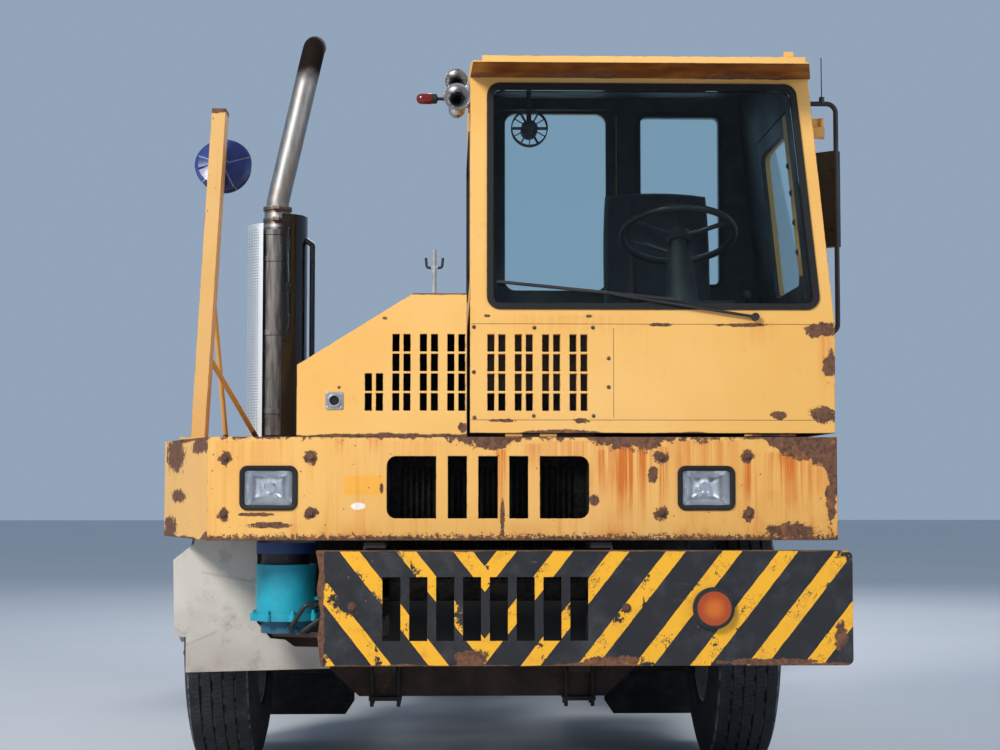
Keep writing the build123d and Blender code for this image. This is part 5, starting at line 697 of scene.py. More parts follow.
def tread_plate(name, colour, second):
    """Raised diamond pattern on a walked-on steel plate, painted and worn."""
    look = Look(name, edge=0.002)
    one = look.math("SINE", (look.x + look.y) * 150.0)
    two = look.math("SINE", (look.x - look.y) * 150.0)
    lugs = (one * two).fade(0.35, 0.75)
    lugs = lugs * (look.facing[2] > 0.8)
    paint = look.mix(colour, second, look.noise(5.0, 5.0, 0.65).fade(0.4, 0.7))
    paint = look.mix(paint, (0.34, 0.33, 0.32), lugs * look.noise(9.0, 4.0).fade(0.45, 0.65))
    rust = look.noise(10.0, 6.0, 0.7).fade(0.6, 0.7, 0.8)
    rusted(look, paint, rust, 0.0, 0.5)
    look.bump(lugs, 0.002, 0.9)
    return look.material


def weave(name, colour, second):
    """Woven cloth with fine threads both ways."""
    look = Look(name, roughness=0.92)
    one = look.math("SINE", look.x * 2600.0)
    two = look.math("SINE", (look.y + look.z) * 2600.0)
    threads = one * two
    tone = look.mix(colour, second, look.noise(9.0, 4.0).fade(0.35, 0.7))
    look.set("Base Color", look.mix(tone, (0.1, 0.1, 0.11), threads.fade(0.2, 0.9, 0.35)))
    look.set("Sheen Weight", 0.25)
    look.bump(threads, 0.0006, 0.5)
    return look.material


def lamp_glass():
    """Clear lens with upright flutes."""
    look = Look("lamp_glass", roughness=0.05)
    look.set("Base Color", (0.93, 0.96, 0.98))
    look.set("Transmission Weight", 1.0)
    look.set("IOR", 1.35)
    flutes = look.math("SINE", look.x * 520.0)
    panes = look.math("SINE", look.z * 130.0) * 0.4
    look.bump(flutes + panes, 0.00012, 0.5)
    return look.material


def dress(material, *names):
    """Give CAD nodes one material."""
    for name in names:
        data = NODES[name].data
        data.materials.clear()
        data.materials.append(material)


# Faces gathered for one piece
class Shape:
    def __init__(self):
        self.mesh = bmesh.new()

    def quads(self, low, high, slot=0):
        """Faces between two rings of the same count, or a ring and one point."""
        count = max(len(low), len(high))
        for k in range(count):
            corners = [low[k % len(low)], low[(k + 1) % len(low)], high[(k + 1) % len(high)],
                high[k % len(high)]]
            corners = list(dict.fromkeys(corners))
            if len(corners) > 2:
                self.mesh.faces.new(corners).material_index = slot

    def turned(self, profile, origin, axis, segments=48, slot=0, closed=False):
        """Profile of (radius, distance along the axis), turned round a line."""
        origin, axis = Vector(origin), Vector(axis).normalized()
        side = axis.orthogonal().normalized()
        up = axis.cross(side)
        rings = []
        for radius, along in profile:
            centre = origin + axis * along
            angles = [2 * math.pi * k / segments for k in range(segments if radius else 1)]
            rings.append([self.mesh.verts.new(centre + (side * math.cos(a) + up * math.sin(a)) * radius)
                for a in angles])
        for low, high in zip(rings, rings[1:]):
            self.quads(low, high, slot)
        if closed:
            self.quads(rings[-1], rings[0], slot)

    def loft(self, outlines, filled=False):
        """Skin over outlines of the same count of points."""
        rings = [[self.mesh.verts.new(point) for point in outline] for outline in outlines]
        for low, high in zip(rings, rings[1:]):
            self.quads(low, high)
        if filled:
            self.mesh.faces.new(rings[0][::-1])
            self.mesh.faces.new(rings[-1])

    def bolt(self, place, axis, size):
        """Hexagon head on a washer; size is the head's radius."""
        self.turned([(0, 0.0), (1.5 * size, 0.0), (1.5 * size, 0.22 * size), (0, 0.24 * size)], place,
            axis, 18)
        head = [(0.98 * size, 0.2 * size), (size, 0.75 * size), (0.86 * size, 0.9 * size),
            (0, 0.92 * size)]
        self.turned(head, place, axis, 6)

    def screw(self, place, axis, radius):
        """Domed screw head."""
        dome = [(radius, 0.0), (radius, 0.2 * radius), (0.82 * radius, 0.48 * radius),
            (0.45 * radius, 0.64 * radius), (0.2 * radius, 0.66 * radius),
            (0.18 * radius, 0.42 * radius), (0, 0.4 * radius)]
        self.turned(dome, place, axis, 16)

    def piece(self, name, body, materials, replaces=(), crease=35.0):
        bmesh.ops.recalc_face_normals(self.mesh, faces=self.mesh.faces)
        limit = math.radians(crease)
        for face in self.mesh.faces:
            face.smooth = True
        for edge in self.mesh.edges:
            edge.smooth = len(edge.link_faces) == 2 and edge.calc_face_angle(0.0) < limit
        data = bpy.data.meshes.new(name)
        self.mesh.to_mesh(data)
        self.mesh.free()
        for material in materials:
            data.materials.append(material)
        made = add_object(name, data)
        if replaces:
            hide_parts(*replaces)
        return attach(made, body)


def rounded(half_w, half_h, corner, centre, y, steps=6):
    """Outline of a rounded rectangle that faces front."""
    points = []
    for turn, (side_x, side_z) in enumerate([(1, 1), (-1, 1), (-1, -1), (1, -1)]):
        for step in range(steps + 1):
            angle = math.radians(90.0 * (turn + step / steps))
            points.append((centre[0] + side_x * (half_w - corner) + corner * math.cos(angle), y,
                centre[1] + side_z * (half_h - corner) + corner * math.sin(angle)))
    return points


# Directions, and a place well ahead of the bumper
BACK = (0, 1, 0)
AHEAD = (0, -1, 0)
AHEAD_Y = -3.5


def seat_on(node, start, direction):
    """Place and outward direction where a line first meets a CAD node."""
    found, place, normal, _ = NODES[node].ray_cast(Vector(start), Vector(direction))
    if not found:
        raise ValueError(f"no face of {node} from {start}")
    return place, normal


# Tyres: five ribs between four grooves
RIM_R = 0.286
RIB_GROOVES = [-0.066, -0.022, 0.022, 0.066]
GROOVE_W = 0.011
GROOVE_DEPTH = 0.014
TREAD_HALF = 0.108


def tyre_section(half, radius):
    """Closed section of a tyre as (radius, distance from its middle)."""
    wall = [(RIM_R + 0.003, half - 0.032), (RIM_R + 0.016, half - 0.014), (RIM_R + 0.024, half - 0.01),
        (RIM_R + 0.032, half - 0.01), (RIM_R + 0.07, half - 0.003), (RIM_R + 0.11, half),
        (RIM_R + 0.15, half - 0.004), (radius - 0.058, half - 0.011), (radius - 0.03, half - 0.018),
        (radius - 0.014, half - 0.024), (radius - 0.004, TREAD_HALF)]
    tread = []
    for middle in RIB_GROOVES:
        top = radius - 0.003 * (middle / TREAD_HALF) ** 2
        tread += [(top, middle - GROOVE_W / 2), (top - GROOVE_DEPTH, middle - GROOVE_W / 4),
            (top - GROOVE_DEPTH, middle + GROOVE_W / 4), (top, middle + GROOVE_W / 2)]
    return [(r, -along) for r, along in wall] + tread + wall[::-1]


# Wheels: body, tyres, count of tyres side by side, the disc's place along the axle, how far out its nuts sit
WHEELS = [("front_wheel", "front_tyre", 1, 1.020, 0.150), ("rear_wheels", "rear_tyres", 2, 0.908, 0.013)]
SIDES = [("left", 1), ("right", -1)]


def make_tyres():
    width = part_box("front_tyre_left")[1].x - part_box("front_tyre_left")[0].x
    for body, tyres, count, _, _ in WHEELS:
        for side, _ in SIDES:
            node = f"{tyres}_{side}"
            low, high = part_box(node)
            radius = (high.z - low.z) / 2
            shape = Shape()
            for turn in range(count):
                middle = low.x + width / 2 + turn * (high.x - low.x - width)
                shape.turned(tyre_section(width / 2, radius), (middle, (low.y + high.y) / 2, radius),
                    (1, 0, 0), 112, closed=True)
            shape.piece(node + "_ribbed", f"{body}_{side}", [tyre_finish(node + "_rubber", node)], [node])


# Wheel nuts and the ends of their studs
NUT_CIRCLE = 0.1425
NUT_COUNT = 10
NUT_R = 0.0165
STUD = [(0.010, 0.0), (0.010, 0.030), (0.008, 0.032), (0, 0.032)]


def make_nuts(steel):
    for body, tyres, _, disc, out in WHEELS:
        for name, side in SIDES:
            low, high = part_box(f"{tyres}_{name}")
            shape = Shape()
            for turn in range(NUT_COUNT):
                angle = 2 * math.pi * turn / NUT_COUNT
                place = (side * (disc + out), (low.y + high.y) / 2 + NUT_CIRCLE * math.cos(angle),
                    (low.z + high.z) / 2 + NUT_CIRCLE * math.sin(angle))
                shape.bolt(place, (side, 0, 0), NUT_R)
                shape.turned(STUD, place, (side, 0, 0), 12)
            shape.piece(f"{body}_{name}_nuts", f"{body}_{name}", [steel])


# Headlamps: half sizes of the opening in the nose
LAMP_PLACE = (0.763, 1.100)
LAMP_HALF = (0.092, 0.069)
BULB_R = 0.019


def lamp_rings(centre, corner, steps):
    """Outlines like the lamp's opening, as (share of its size, depth behind the nose's face)."""
    half_w, half_h = LAMP_HALF
    return [rounded(half_w * share, half_h * share, corner * share, centre, FRONT + back)
        for share, back in steps]


def make_headlamps(seal, chrome):
    bezel, bowl, pane = Shape(), Shape(), Shape()
    half_w, half_h = LAMP_HALF
    for side in (-1, 1):
        centre = (side * LAMP_PLACE[0], LAMP_PLACE[1])
        steps = [(0.009, 0.0), (0.0088, -0.004), (0.006, -0.0068), (-0.002, -0.0068), (-0.008, -0.004),
            (-0.01, 0.0), (-0.01, 0.01), (-0.0005, 0.012), (-0.0005, 0.066)]
        bezel.loft([rounded(half_w + grow, half_h + grow, 0.019 + grow, centre, FRONT + back)
            for grow, back in steps])
        bowl.loft(lamp_rings(centre, 0.018, [(0.94, 0.003), (0.9, 0.004), (0.86, 0.018), (0.7, 0.042),
            (0.45, 0.056), (0.2, 0.06)]))
        bowl.turned([(BULB_R, 0.0), (BULB_R, -0.022), (0.014, -0.028), (0, -0.029)],
            (centre[0], FRONT + 0.06, centre[1]), BACK, 24)
        crown = [(0.935, 0.002), (0.93, -0.001), (0.86, -0.0034), (0.7, -0.0052), (0.45, -0.0062),
            (0.12, -0.0066)]
        pane.loft(lamp_rings(centre, 0.017, crown))
        middle = rounded(0.001, 0.001, 0.0005, centre, FRONT + crown[-1][1])
        pane.loft(lamp_rings(centre, 0.017, crown[-1:]) + [middle])
    bezel.piece("headlamp_bezels", "chassis", [seal], ["headlamps"])
    bowl.piece("headlamp_bowls", "chassis", [chrome])
    pane.piece("headlamp_lenses", "chassis", [lamp_glass()], crease=60.0)


# Perforated guard round the muffler: pitch of its holes, their share of it, and the plain margin round them
HOLE_PITCH = 0.0118
HOLE_SHARE = 0.42
GUARD_MARGIN = 0.020


def make_guard(steel):
    low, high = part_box("exhaust_guard_perforated")
    depth = (high.y - low.y) / 2
    middle_y = (low.y + high.y) / 2
    # The guard is an arc that bulges to -X: its chord gives the angle that it spans
    width = high.x - low.x
    radius = (depth ** 2 + width ** 2) / (2 * width) if depth > width else depth
    centre_x = low.x + radius
    half_angle = math.acos(max(-1.0, min(1.0, (radius - width) / radius)))
    radius -= 0.002
    margin = GUARD_MARGIN / radius
    across = int(radius * 2 * (half_angle - margin) / HOLE_PITCH)
    upward = int((high.z - low.z - 2 * GUARD_MARGIN) / HOLE_PITCH)
    shape = Shape()
    verts = {}

    def at(angle, z):
        key = (round(angle, 5), round(z, 5))
        if key not in verts:
            place = (centre_x - radius * math.cos(angle), middle_y - radius * math.sin(angle), z)
            verts[key] = shape.mesh.verts.new(place)
        return verts[key]

    step_a = 2 * (half_angle - margin) / across
    step_z = (high.z - low.z - 2 * GUARD_MARGIN) / upward
    first_a, first_z = -half_angle + margin, low.z + GUARD_MARGIN
    for column in range(across):
        for row in range(upward):
            a, z = first_a + (column + 0.5) * step_a, first_z + (row + 0.5) * step_z
            outer, inner = [], []
            for turn in range(8):
                angle = math.radians(45.0 * turn)
                square = 1.0 / max(abs(math.cos(angle)), abs(math.sin(angle)))
                off_a, off_z = step_a / 2 * math.cos(angle), step_z / 2 * math.sin(angle)
                outer.append(at(a + off_a * square, z + off_z * square))
                inner.append(at(a + off_a * HOLE_SHARE, z + off_z * HOLE_SHARE))
            shape.quads(outer, inner)
    # Plain margins all round
    columns = [first_a + k * step_a / 2 for k in range(2 * across + 1)]
    rows = [first_z + k * step_z / 2 for k in range(2 * upward + 1)]
    for z_low, z_high in [(low.z, rows[0]), (rows[-1], high.z)]:
        for one, two in zip(columns, columns[1:]):
            shape.mesh.faces.new([at(one, z_low), at(two, z_low), at(two, z_high), at(one, z_high)])
    levels = [low.z] + rows + [high.z]
    for a_low, a_high in [(-half_angle, columns[0]), (columns[-1], half_angle)]:
        for one, two in zip(levels, levels[1:]):
            shape.mesh.faces.new([at(a_low, one), at(a_high, one), at(a_high, two), at(a_low, two)])
    shape.piece("perforated_guard", "chassis", [steel], ["exhaust_guard_perforated"])


# Horns: X, Z, how far the mouth stands back, and bell radius
HORN_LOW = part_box("horns")[0]
HORNS = [(-0.112, 2.546, 0.030, 0.041), (-0.110, 2.482, 0.0, 0.047)]
HORN_WALL_X = CAB_LOW.x
RED_LAMP_PLACE = (-0.258, -2.108, 2.520)


def make_horns(chrome, black, red):
    shape = Shape()
    for x, z, behind, bell in HORNS:
        mouth = (x, HORN_LOW.y + behind, z)
        shape.turned([(bell * 0.36, 0.052), (bell * 0.55, 0.03), (bell * 0.78, 0.012),
            (bell * 0.93, 0.003), (bell, 0.0), (bell * 1.01, 0.003), (bell * 0.97, 0.009),
            (bell * 0.8, 0.02), (bell * 0.6, 0.04), (bell * 0.44, 0.07), (0.014, 0.13), (0.012, 0.2),
            (0.026, 0.206), (0.03, 0.212), (0.03, 0.248), (0.025, 0.256), (0, 0.258)], mouth, BACK, 40)
        # Black cone in each bell's throat: painted shade down the mouth
        shape.turned([(bell * 0.36, 0.052), (bell * 0.20, 0.10), (0, 0.11)], mouth, BACK, 40, slot=1)
        foot_y = mouth[1] + 0.150
        width = HORN_WALL_X - x
        shape.loft([rounded(width / 2, 0.009, 0.004, (x + width / 2, z), foot_y + step)
            for step in (0.0, 0.014)], filled=True)
        shape.loft([rounded(0.003, 0.024, 0.002, (HORN_WALL_X - 0.004, z), foot_y + step)
            for step in (-0.022, 0.036)], filled=True)
    shape.turned([(0, 0.0), (0.01, 0.002), (0.017, 0.009), (0.02, 0.022), (0.02, 0.052), (0.017, 0.058)],
        RED_LAMP_PLACE, (1, 0, 0), 28, slot=2)
    shape.turned([(0.018, 0.057), (0.018, 0.074), (0.008, 0.078), (0.006, 0.08), (0.006, 0.194)],
        RED_LAMP_PLACE, (1, 0, 0), 28, slot=1)
    shape.piece("air_horns", "cab", [chrome, black, red], ["horns"])


# Mirror glass on the faces that look back: radii of the round pane, and the cab mirror's head
MAST_PANE_R = [0.0, 0.025, 0.050, 0.075, 0.095, 0.103]
PANE_THICKNESS = 0.0012
HEAD_PLACE = Vector((1.2375, -2.144, 2.148))
HEAD_TURN = math.radians(-40.0)
HEAD_BACK = 0.015


def make_mirror_panes(silver):
    x, z = MIRROR_MIDDLE
    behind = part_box("mast_mirror")[1].y + 0.1
    back = [seat_on("mast_mirror", (x, behind, z + radius), AHEAD)[0].y for radius in MAST_PANE_R]
    disc = Shape()
    profile = [(radius, y + PANE_THICKNESS) for radius, y in zip(MAST_PANE_R, back)]
    disc.turned(profile + [(MAST_PANE_R[-1] + 0.001, back[-1])], (x, 0.0, z), BACK, 48)
    disc.piece("mast_mirror_pane", "chassis", [silver])
    turn = Matrix.Rotation(HEAD_TURN, 3, "Z")
    rings = [[HEAD_PLACE + turn @ Vector(point) for point in rounded(0.042, 0.168, 0.012, (0, 0),
        HEAD_BACK + step)] for step in (0.0, PANE_THICKNESS)]
    pane = Shape()
    pane.loft(rings, filled=True)
    pane.piece("cab_mirror_pane", "cab", [silver])


def make_walls(paint):
    """Cab's side walls without the rail on the right wall, which the photograph doesn't show."""
    mesh = bmesh.new()
    mesh.from_mesh(NODES["cab_sides"].data)
    rail = [face for face in mesh.faces if face.calc_center_median().x < CAB_LOW.x - 0.0005]
    bmesh.ops.delete(mesh, geom=rail, context="FACES")
    wall = {vert for vert in mesh.verts if abs(vert.co.x - CAB_LOW.x) < 0.001}
    bmesh.ops.remove_doubles(mesh, verts=list(wall), dist=0.0001)
    wall = {vert for vert in mesh.verts if abs(vert.co.x - CAB_LOW.x) < 0.001}
    rims = [edge for edge in mesh.edges if edge.is_boundary and wall.issuperset(edge.verts)]
    bmesh.ops.holes_fill(mesh, edges=rims, sides=0)
    for face in mesh.faces:
        face.smooth = False
    data = bpy.data.meshes.new("cab_walls")
    mesh.to_mesh(data)
    mesh.free()
    if "custom_normal" in data.attributes:
        data.attributes.remove(data.attributes["custom_normal"])
    data.materials.clear()
    data.materials.append(paint)
    made = add_object("cab_walls", data)
    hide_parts("cab_sides")
    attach(made, "cab")


# Rubber strips that close the gap between the grille and the radiator's sides
SEAL_STRIP_X = 0.362
SEAL_STRIP_Z = (0.965, 1.250)
SEAL_STRIP_Y = (0.012, 0.085)


def make_seal_strips(seal):
    shape = Shape()
    for side in (-1, 1):
        middle = (side * SEAL_STRIP_X, sum(SEAL_STRIP_Z) / 2)
        half_z = (SEAL_STRIP_Z[1] - SEAL_STRIP_Z[0]) / 2
        shape.loft([rounded(half, half_z, 0.003, middle, FRONT + back)
            for half, back in [(0.004, SEAL_STRIP_Y[0]), (0.01, SEAL_STRIP_Y[0] + 0.01),
            (0.016, SEAL_STRIP_Y[1])]], filled=True)
    shape.piece("grille_seals", "chassis", [seal])


# Screws and bolts on the front, as X and Z
CAB_SCREWS = [(-0.05, 1.663), (0.162, 1.661), (0.367, 1.662), (-0.05, 1.505), (-0.048, 1.346),
    (0.159, 1.352), (0.369, 1.352), (0.422, 1.554), (0.422, 1.453)]
BUMPER_BOLTS = [(-0.462, 0.701), (0.463, 0.696)]
DOOR_BOLTS = [1.97, 2.08, 2.19, 2.29]
DOOR_BOLT_Y = -2.035
INSIDE_X = 0.9


def make_fasteners(zinc, rusty):
    cab, chassis, door = Shape(), Shape(), Shape()
    for x, z in CAB_SCREWS:
        place, _ = seat_on("cab_front", (x, AHEAD_Y, z), BACK)
        cab.screw(place, AHEAD, 0.0068)
    for x, z in LAMP_BOLTS:
        place, _ = seat_on("nose_panel", (x, AHEAD_Y, z), BACK)
        chassis.bolt(place, AHEAD, 0.0085)
    for x, z in BUMPER_BOLTS:
        place, _ = seat_on("front_bumper", (x, AHEAD_Y, z), BACK)
        chassis.bolt(place, AHEAD, 0.0105)
    for z in DOOR_BOLTS:
        place, normal = seat_on("side_door", (INSIDE_X, DOOR_BOLT_Y, z), (1, 0, 0))
        door.bolt(place, normal, 0.009)
    cab.piece("cab_screws", "cab", [zinc])
    chassis.piece("front_bolts", "chassis", [rusty])
    door.piece("door_bolts", "side_door", [zinc])


# Socket of the block heater on the hood's front
SOCKET_PLACE = (-0.536, 1.404)
SOCKET_HALF = 0.031


def make_socket(zinc, black):
    place, _ = seat_on("hood", (SOCKET_PLACE[0], AHEAD_Y, SOCKET_PLACE[1]), BACK)
    shape = Shape()
    steps = [(0.0, 0.0), (0.0, -0.003), (-0.001, -0.004), (-0.010, -0.004)]
    shape.loft([rounded(SOCKET_HALF + grow, SOCKET_HALF + grow, 0.006, SOCKET_PLACE, place.y + back, 3)
        for grow, back in steps], filled=True)
    ring = [(0.023, 0.004), (0.023, 0.010), (0.021, 0.012), (0.017, 0.012), (0.0165, 0.005)]
    shape.turned(ring, place, AHEAD, 36)
    shape.turned([ring[-1], (0, 0.005)], place, AHEAD, 36, slot=1)
    for side_x in (-1, 1):
        for side_z in (-1, 1):
            corner = Vector((place.x + side_x * 0.0235, place.y - 0.004, place.z + side_z * 0.0235))
            shape.screw(corner, AHEAD, 0.0035)
    shape.piece("heater_socket", "chassis", [zinc, black])


# Driver's seat: crowned cushions with sewn channels and a welt round the edge
SEAT_LOW, SEAT_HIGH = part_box("seat")
BACK_LEAN = 0.070
PAD_STEPS = 44
CORNER_ROUNDING = 0.28
SIDE_PULL = 0.035
CROWN_SHARE = 0.14
CHANNEL_WIDTH, CHANNEL_DEPTH = 0.035, 0.16
WELT_PLACE, WELT_WIDTH, WELT_HEIGHT = 0.93, 0.02, 0.05


def pad(name, corner, across, along, up, thickness, channels, cloth):
    """Stuffed pad on a four-sided base: crowned, with its sides drawn in and channels sewn along it."""
    shape = Shape()
    corner, across, along, up = Vector(corner), Vector(across), Vector(along), Vector(up)
    straight = 1 - CORNER_ROUNDING
    high, low = [], []
    for i in range(PAD_STEPS + 1):
        high.append([])
        low.append([])
        for j in range(PAD_STEPS + 1):
            u, v = 2 * i / PAD_STEPS - 1, 2 * j / PAD_STEPS - 1
            round_u, round_v = math.sqrt(1 - v * v / 2), math.sqrt(1 - u * u / 2)
            pull = 1 - SIDE_PULL * (1 - v * v) * abs(u) ** 3 - SIDE_PULL * (1 - u * u) * abs(v) ** 3
            flat_u = (CORNER_ROUNDING * u * round_u + straight * u) * pull
            flat_v = (CORNER_ROUNDING * v * round_v + straight * v) * pull
            edge = (1 - abs(u) ** 5) * (1 - abs(v) ** 5)
            crown = edge ** 0.42 * (1 - CROWN_SHARE + CROWN_SHARE * (1 - u * u) * (1 - v * v))
            sewn = sum(math.exp(-((u - channel) / CHANNEL_WIDTH) ** 2) for channel in channels)
            welt = WELT_HEIGHT * math.exp(-((max(abs(u), abs(v)) - WELT_PLACE) / WELT_WIDTH) ** 2)
            height = thickness * (crown * (1 - CHANNEL_DEPTH * min(sewn, 1.0)) + welt)
            place = corner + across * (0.5 + flat_u / 2) + along * (0.5 + flat_v / 2)
            high[i].append(shape.mesh.verts.new(place + up * height))
            low[i].append(shape.mesh.verts.new(place))
    last = PAD_STEPS
    for i in range(last):
        for j in range(last):
            shape.mesh.faces.new([high[i][j], high[i + 1][j], high[i + 1][j + 1], high[i][j + 1]])
            shape.mesh.faces.new([low[i][j], low[i][j + 1], low[i + 1][j + 1], low[i + 1][j]])
    steps = range(last)
    rim = [(i, 0) for i in steps] + [(last, j) for j in steps]
    rim += [(last - i, last) for i in steps] + [(0, last - j) for j in steps]
    shape.quads([low[i][j] for i, j in rim], [high[i][j] for i, j in rim])
    return shape.piece(name, "cab", [cloth], crease=70.0)


def make_seat():
    cloth = weave("seat_cloth", (0.022, 0.023, 0.026), (0.040, 0.041, 0.045))
    wide = SEAT_HIGH.x - SEAT_LOW.x
    foot = SEAT_HIGH.y - BACK_LEAN - 0.101
    cushion = pad("seat_cushion", (SEAT_LOW.x, SEAT_LOW.y, SEAT_LOW.z + 0.001), (wide, 0, 0),
        (0, foot - SEAT_LOW.y - 0.002, 0.01), (0, 0, 1), 0.098, (-0.42, 0.42), cloth)
    lean = Vector((0, BACK_LEAN, SEAT_HIGH.z - SEAT_LOW.z - 0.004))
    out = Vector((0, -lean.z, lean.y)).normalized()
    back = pad("seat_back", (SEAT_LOW.x + 0.012, foot + 0.098, SEAT_LOW.z + 0.002), (wide - 0.024, 0, 0),
        lean, out, 0.088, (-0.45, 0.45), cloth)
    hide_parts("seat")
    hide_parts("seat")


def make_floor():
    look = Look("pale_floor", roughness=0.6)
    look.set("Base Color", look.mix((0.5, 0.51, 0.53), (0.58, 0.59, 0.61), look.noise(0.6, 4.0)))
    look.bump(look.noise(25.0, 4.0), 0.0008, 0.4)
    mesh = bpy.data.meshes.new("floor")
    reach = 60.0
    mesh.from_pydata([(-reach, -reach, 0), (reach, -reach, 0), (reach, reach, 0), (-reach, reach, 0)],
        [], [(0, 1, 2, 3)])
    mesh.materials.append(look.material)
    add_object("floor", mesh)


# Lights: name, place, size, power and colour, all aimed at the cab
LIGHTS = [
    ("key", (-5.5, -9.0, 7.5), 3.0, 1150.0, (1.0, 0.96, 0.90)),
    ("fill", (8.0, -7.0, 5.0), 5.0, 230.0, (0.93, 0.96, 1.0)),
    ("back", (2.0, 9.0, 8.0), 5.0, 520.0, (0.95, 0.97, 1.0)),
]
LIGHT_AIM = Vector((0.1, -1.4, 1.3))
SKY = (0.52, 0.68, 0.90)
SKY_STRENGTH = 0.55


def make_lights():
    for name, place, size, power, colour in LIGHTS:
        data = bpy.data.lights.new(name, "AREA")
        data.shape = "DISK"
        data.size = size
        data.energy = power
        data.color = colour
        light = add_object(name, data)
        light.location = place
        light.rotation_euler = (LIGHT_AIM - Vector(place)).to_track_quat("-Z", "Y").to_euler()
    world = bpy.data.worlds.new("studio")
    world.use_nodes = True
    background = world.node_tree.nodes["Background"]
    background.inputs["Color"].default_value = (*SKY, 1.0)
    background.inputs["Strength"].default_value = SKY_STRENGTH
    bpy.context.scene.world = world
    bpy.context.scene.view_settings.view_transform = "Standard"


# Rust on single panels as centre and size, stains as X, top Z, half width, length and strength, and seams
CAB_RUST = [((1.17, CAB_LOW.y, 1.655), (0.12, 0.2, 0.05)),
    ((1.205, CAB_LOW.y, 1.525), (0.05, 0.2, 0.09)), ((1.18, CAB_LOW.y, 1.355), (0.09, 0.2, 0.05)),
    ((1.02, CAB_LOW.y, 1.355), (0.05, 0.2, 0.03)), ((0.6, CAB_LOW.y, 1.672), (0.09, 0.2, 0.012)),
    ((0.9, CAB_LOW.y, 1.672), (0.16, 0.2, 0.012)), ((0.05, CAB_LOW.y, 1.335), (0.08, 0.2, 0.012)),
    ((0.33, CAB_LOW.y, 1.335), (0.05, 0.2, 0.02)), ((-0.002, CAB_LOW.y, 1.702), (0.02, 0.1, 0.01)),
    ((0.355, CAB_LOW.y, 1.702), (0.02, 0.1, 0.01))]
CAB_STAINS = [(1.19, 1.65, 0.04, 0.3, 0.7), (0.95, 1.68, 0.1, 0.12, 0.35), (0.3, 1.7, 0.35, 0.1, 0.3)]
CAB_SEAMS = [((-0.06, 1.674), (1.21, 1.674)), ((-0.06, 1.337), (1.21, 1.337)),
    ((0.44, 1.345), (0.44, 1.66))]
HOOD_RUST = [((-0.361, HOOD_LOW.y, 1.694), (0.02, 0.1, 0.012)),
    ((-0.091, HOOD_LOW.y, 1.309), (0.03, 0.1, 0.03)), ((-0.52, HOOD_LOW.y, 1.45), (0.01, 0.1, 0.01))]
# Yellow panels: material, node, seed of the rust, and how they differ
PANELS = [
    ("deck_yellow", "deck_plates", 3.0, {}),
    ("hood_yellow", "hood", 2.0, {"amount": 0.5, "spots": HOOD_RUST, "painted_shade_faces": hood_inside_faces}),
    ("front_yellow", "cab_front", 6.0, {"amount": 0.45, "spots": CAB_RUST, "stains": CAB_STAINS,
                                        "seams": CAB_SEAMS, "painted_shade_faces": cab_inside_faces}),
    ("side_yellow", "cab_sides", 7.0, {"amount": 0.6, "painted_shade_faces": cab_inside_faces}),
    ("rear_yellow", "cab_rear", 8.0, {"amount": 0.6, "painted_shade_faces": cab_inside_faces}),
    ("roof_yellow", "cab_roof", 9.0, {"amount": 0.15, "painted_shade_faces": cab_inside_faces, "dirt_and_painted_shade": True}),
    ("door_yellow", "side_door", 4.0, {"amount": 0.5, "painted_shade_faces": door_inside_faces}),
    ("slide_yellow", "rear_door", 5.5, {"amount": 0.5, "painted_shade_faces": slide_inside_faces}),
    ("mast_yellow", "mirror_mast", 2.5, {"amount": 1.6, "dull": 0.4}),
    ("boom_yellow", "boom", 3.5, {}),
]
# Painted parts: material, two tones, roughness, rust and nodes
PAINTED = [
    ("frame_black", (0.014, 0.014, 0.016), (0.04, 0.038, 0.037), 0.5, 0.6,
     "frame_rails cab_floor battery_box air_tanks fuel_tank lift_barrels"),
    ("cast_black", (0.018, 0.017, 0.016), (0.05, 0.045, 0.04), 0.62, 0.8,
     "engine leaf_springs rear_axle knuckle_left knuckle_right tie_rod fifth_wheel"),
    ("axle_rusty", (0.035, 0.022, 0.017), (0.075, 0.045, 0.03), 0.7, 1.0, "front_axle"),
    ("rim_grey", (0.38, 0.37, 0.35), (0.22, 0.2, 0.17), 0.5, 0.7,
     "front_wheel_left front_wheel_right rear_wheels_left rear_wheels_right"),
    # Crossmembers near black: painted shade seen through the bumper's slots
    ("crossmember_painted_shade", (0.003, 0.003, 0.003), (0.008, 0.008, 0.008), 0.7, 0.1, "crossmembers"),
]


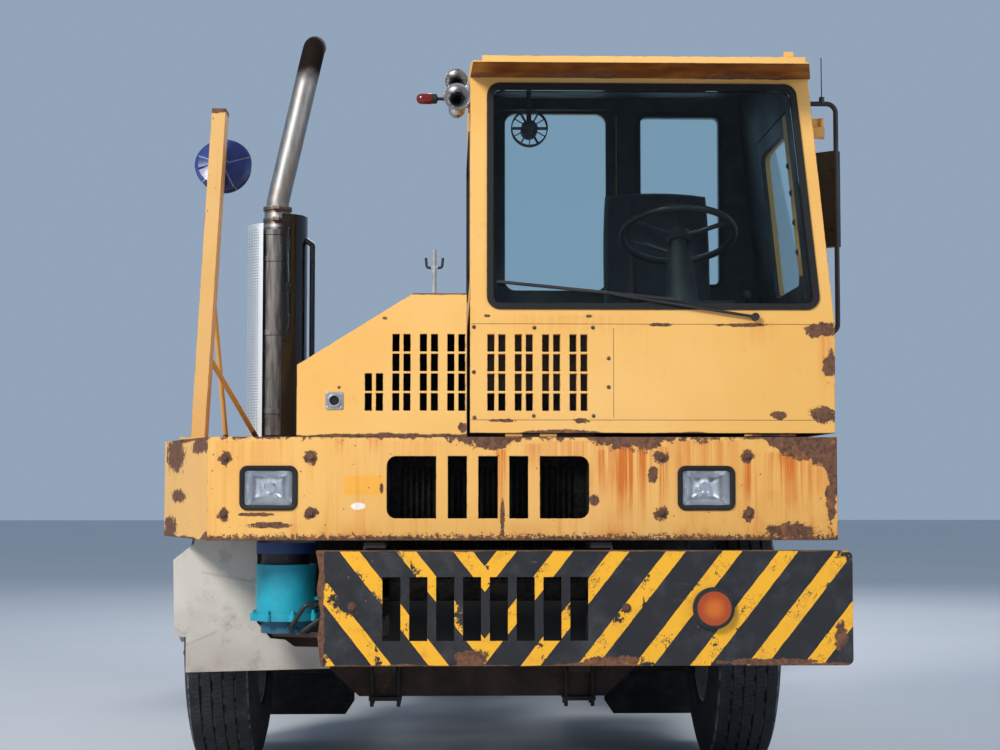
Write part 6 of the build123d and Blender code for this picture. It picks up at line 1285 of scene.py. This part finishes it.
def dress_all():
    dress(nose_finish(), "nose_panel")
    dress(bumper_finish(), "front_bumper")
    taper = [(seen_on("deck_skirts", x, z), (half_w, 0.45, half_h))
        for x, z, half_w, half_h in TAPER_RUST]
    skirt = ("skirt_yellow", "deck_skirts", 5.0, {"amount": 1.4, "spots": taper})
    for name, node, seed, choices in PANELS + [skirt]:
        dress(yellow_panel(name, node, seed, **choices), node)
    make_walls(NODES["cab_sides"].data.materials[0])
    for name, colour, second, roughness, rust_amount, nodes in PAINTED:
        dress(plain_paint(name, colour, second, roughness, rust_amount), *nodes.split())
    dress(plastic("guard_black", (0.004, 0.004, 0.006), (0.01, 0.01, 0.012), 0.1, 90.0),
        "exhaust_guard_black")
    dress(exhaust_finish(), "exhaust")
    dress(tread_plate("platform_plate", (0.05, 0.05, 0.052), (0.12, 0.115, 0.11)), "rear_platform")
    # Radiator core near black: painted shade in the recess behind the grille
    dress(metal("core_painted_shade", (0.006, 0.006, 0.006), (0.016, 0.016, 0.016), 0.6, dirt=0.4), "radiator")
    dress(metal("rod_chrome", (0.80, 0.80, 0.82), (0.88, 0.88, 0.90), 0.12, dirt=0.1), "lift_rods")
    seal = rubber("seal_rubber", (0.008, 0.007, 0.007), dust=0.05, roughness=0.6)
    dress(seal, "window_gaskets")
    dress(rubber("flap_rubber", dust=0.6), "mud_flaps")
    dress(plastic("black_plastic", (0.012, 0.012, 0.014), (0.028, 0.028, 0.03), 0.45), "cab_mirror",
        "wiper", "steering_wheel", "seat_base")
    dress(plastic("dash_plastic", (0.014, 0.016, 0.017), (0.032, 0.035, 0.036), 0.55), "dashboard")
    dress(shield_finish(), "splash_shield")
    dress(dryer_finish(), "air_dryer")
    dress(mirror_finish(), "mast_mirror")
    dress(pole_finish(), "hose_pole")
    dress(lens_finish(), "marker_lamps")
    dress(glass("window_glass", (0.80, 0.92, 0.94)), "cab_glass", "side_door_glass", "rear_door_glass")
    zinc = metal("zinc", (0.42, 0.42, 0.43), (0.62, 0.62, 0.63), 0.4, dirt=0.4)
    dull = metal("dull_screw", (0.10, 0.075, 0.055), (0.22, 0.19, 0.16), 0.5, dirt=0.6)
    rusty = plain_paint("rusty_bolt", (0.10, 0.045, 0.028), (0.17, 0.08, 0.045), 0.8, 0.6, edge=0.0008)
    chrome = metal("lamp_chrome", (0.82, 0.83, 0.85), (0.90, 0.90, 0.92), 0.30, dirt=0.0)
    red = plastic("red_lens", (0.10, 0.006, 0.005), (0.16, 0.010, 0.008), 0.15)
    make_tyres()
    make_nuts(plain_paint("nut_steel", (0.16, 0.14, 0.12), (0.28, 0.25, 0.22), 0.5, 0.6, 0.6, 0.0008))
    make_headlamps(seal, chrome)
    make_guard(metal("galvanised", (0.93, 0.92, 0.90), (0.98, 0.97, 0.95), 0.5, dirt=0.05))
    make_fasteners(dull, rusty)
    make_socket(zinc, seal)
    make_horns(metal("horn_steel", (0.42, 0.42, 0.43), (0.60, 0.60, 0.61), 0.26, dirt=0.25), seal, red)
    make_seal_strips(seal)
    make_mirror_panes(metal("mirror_silver", (0.88, 0.89, 0.90), (0.94, 0.94, 0.95), 0.04, dirt=0.12))
    make_seat()


make_camera()
make_lights()
make_floor()
dress_all()
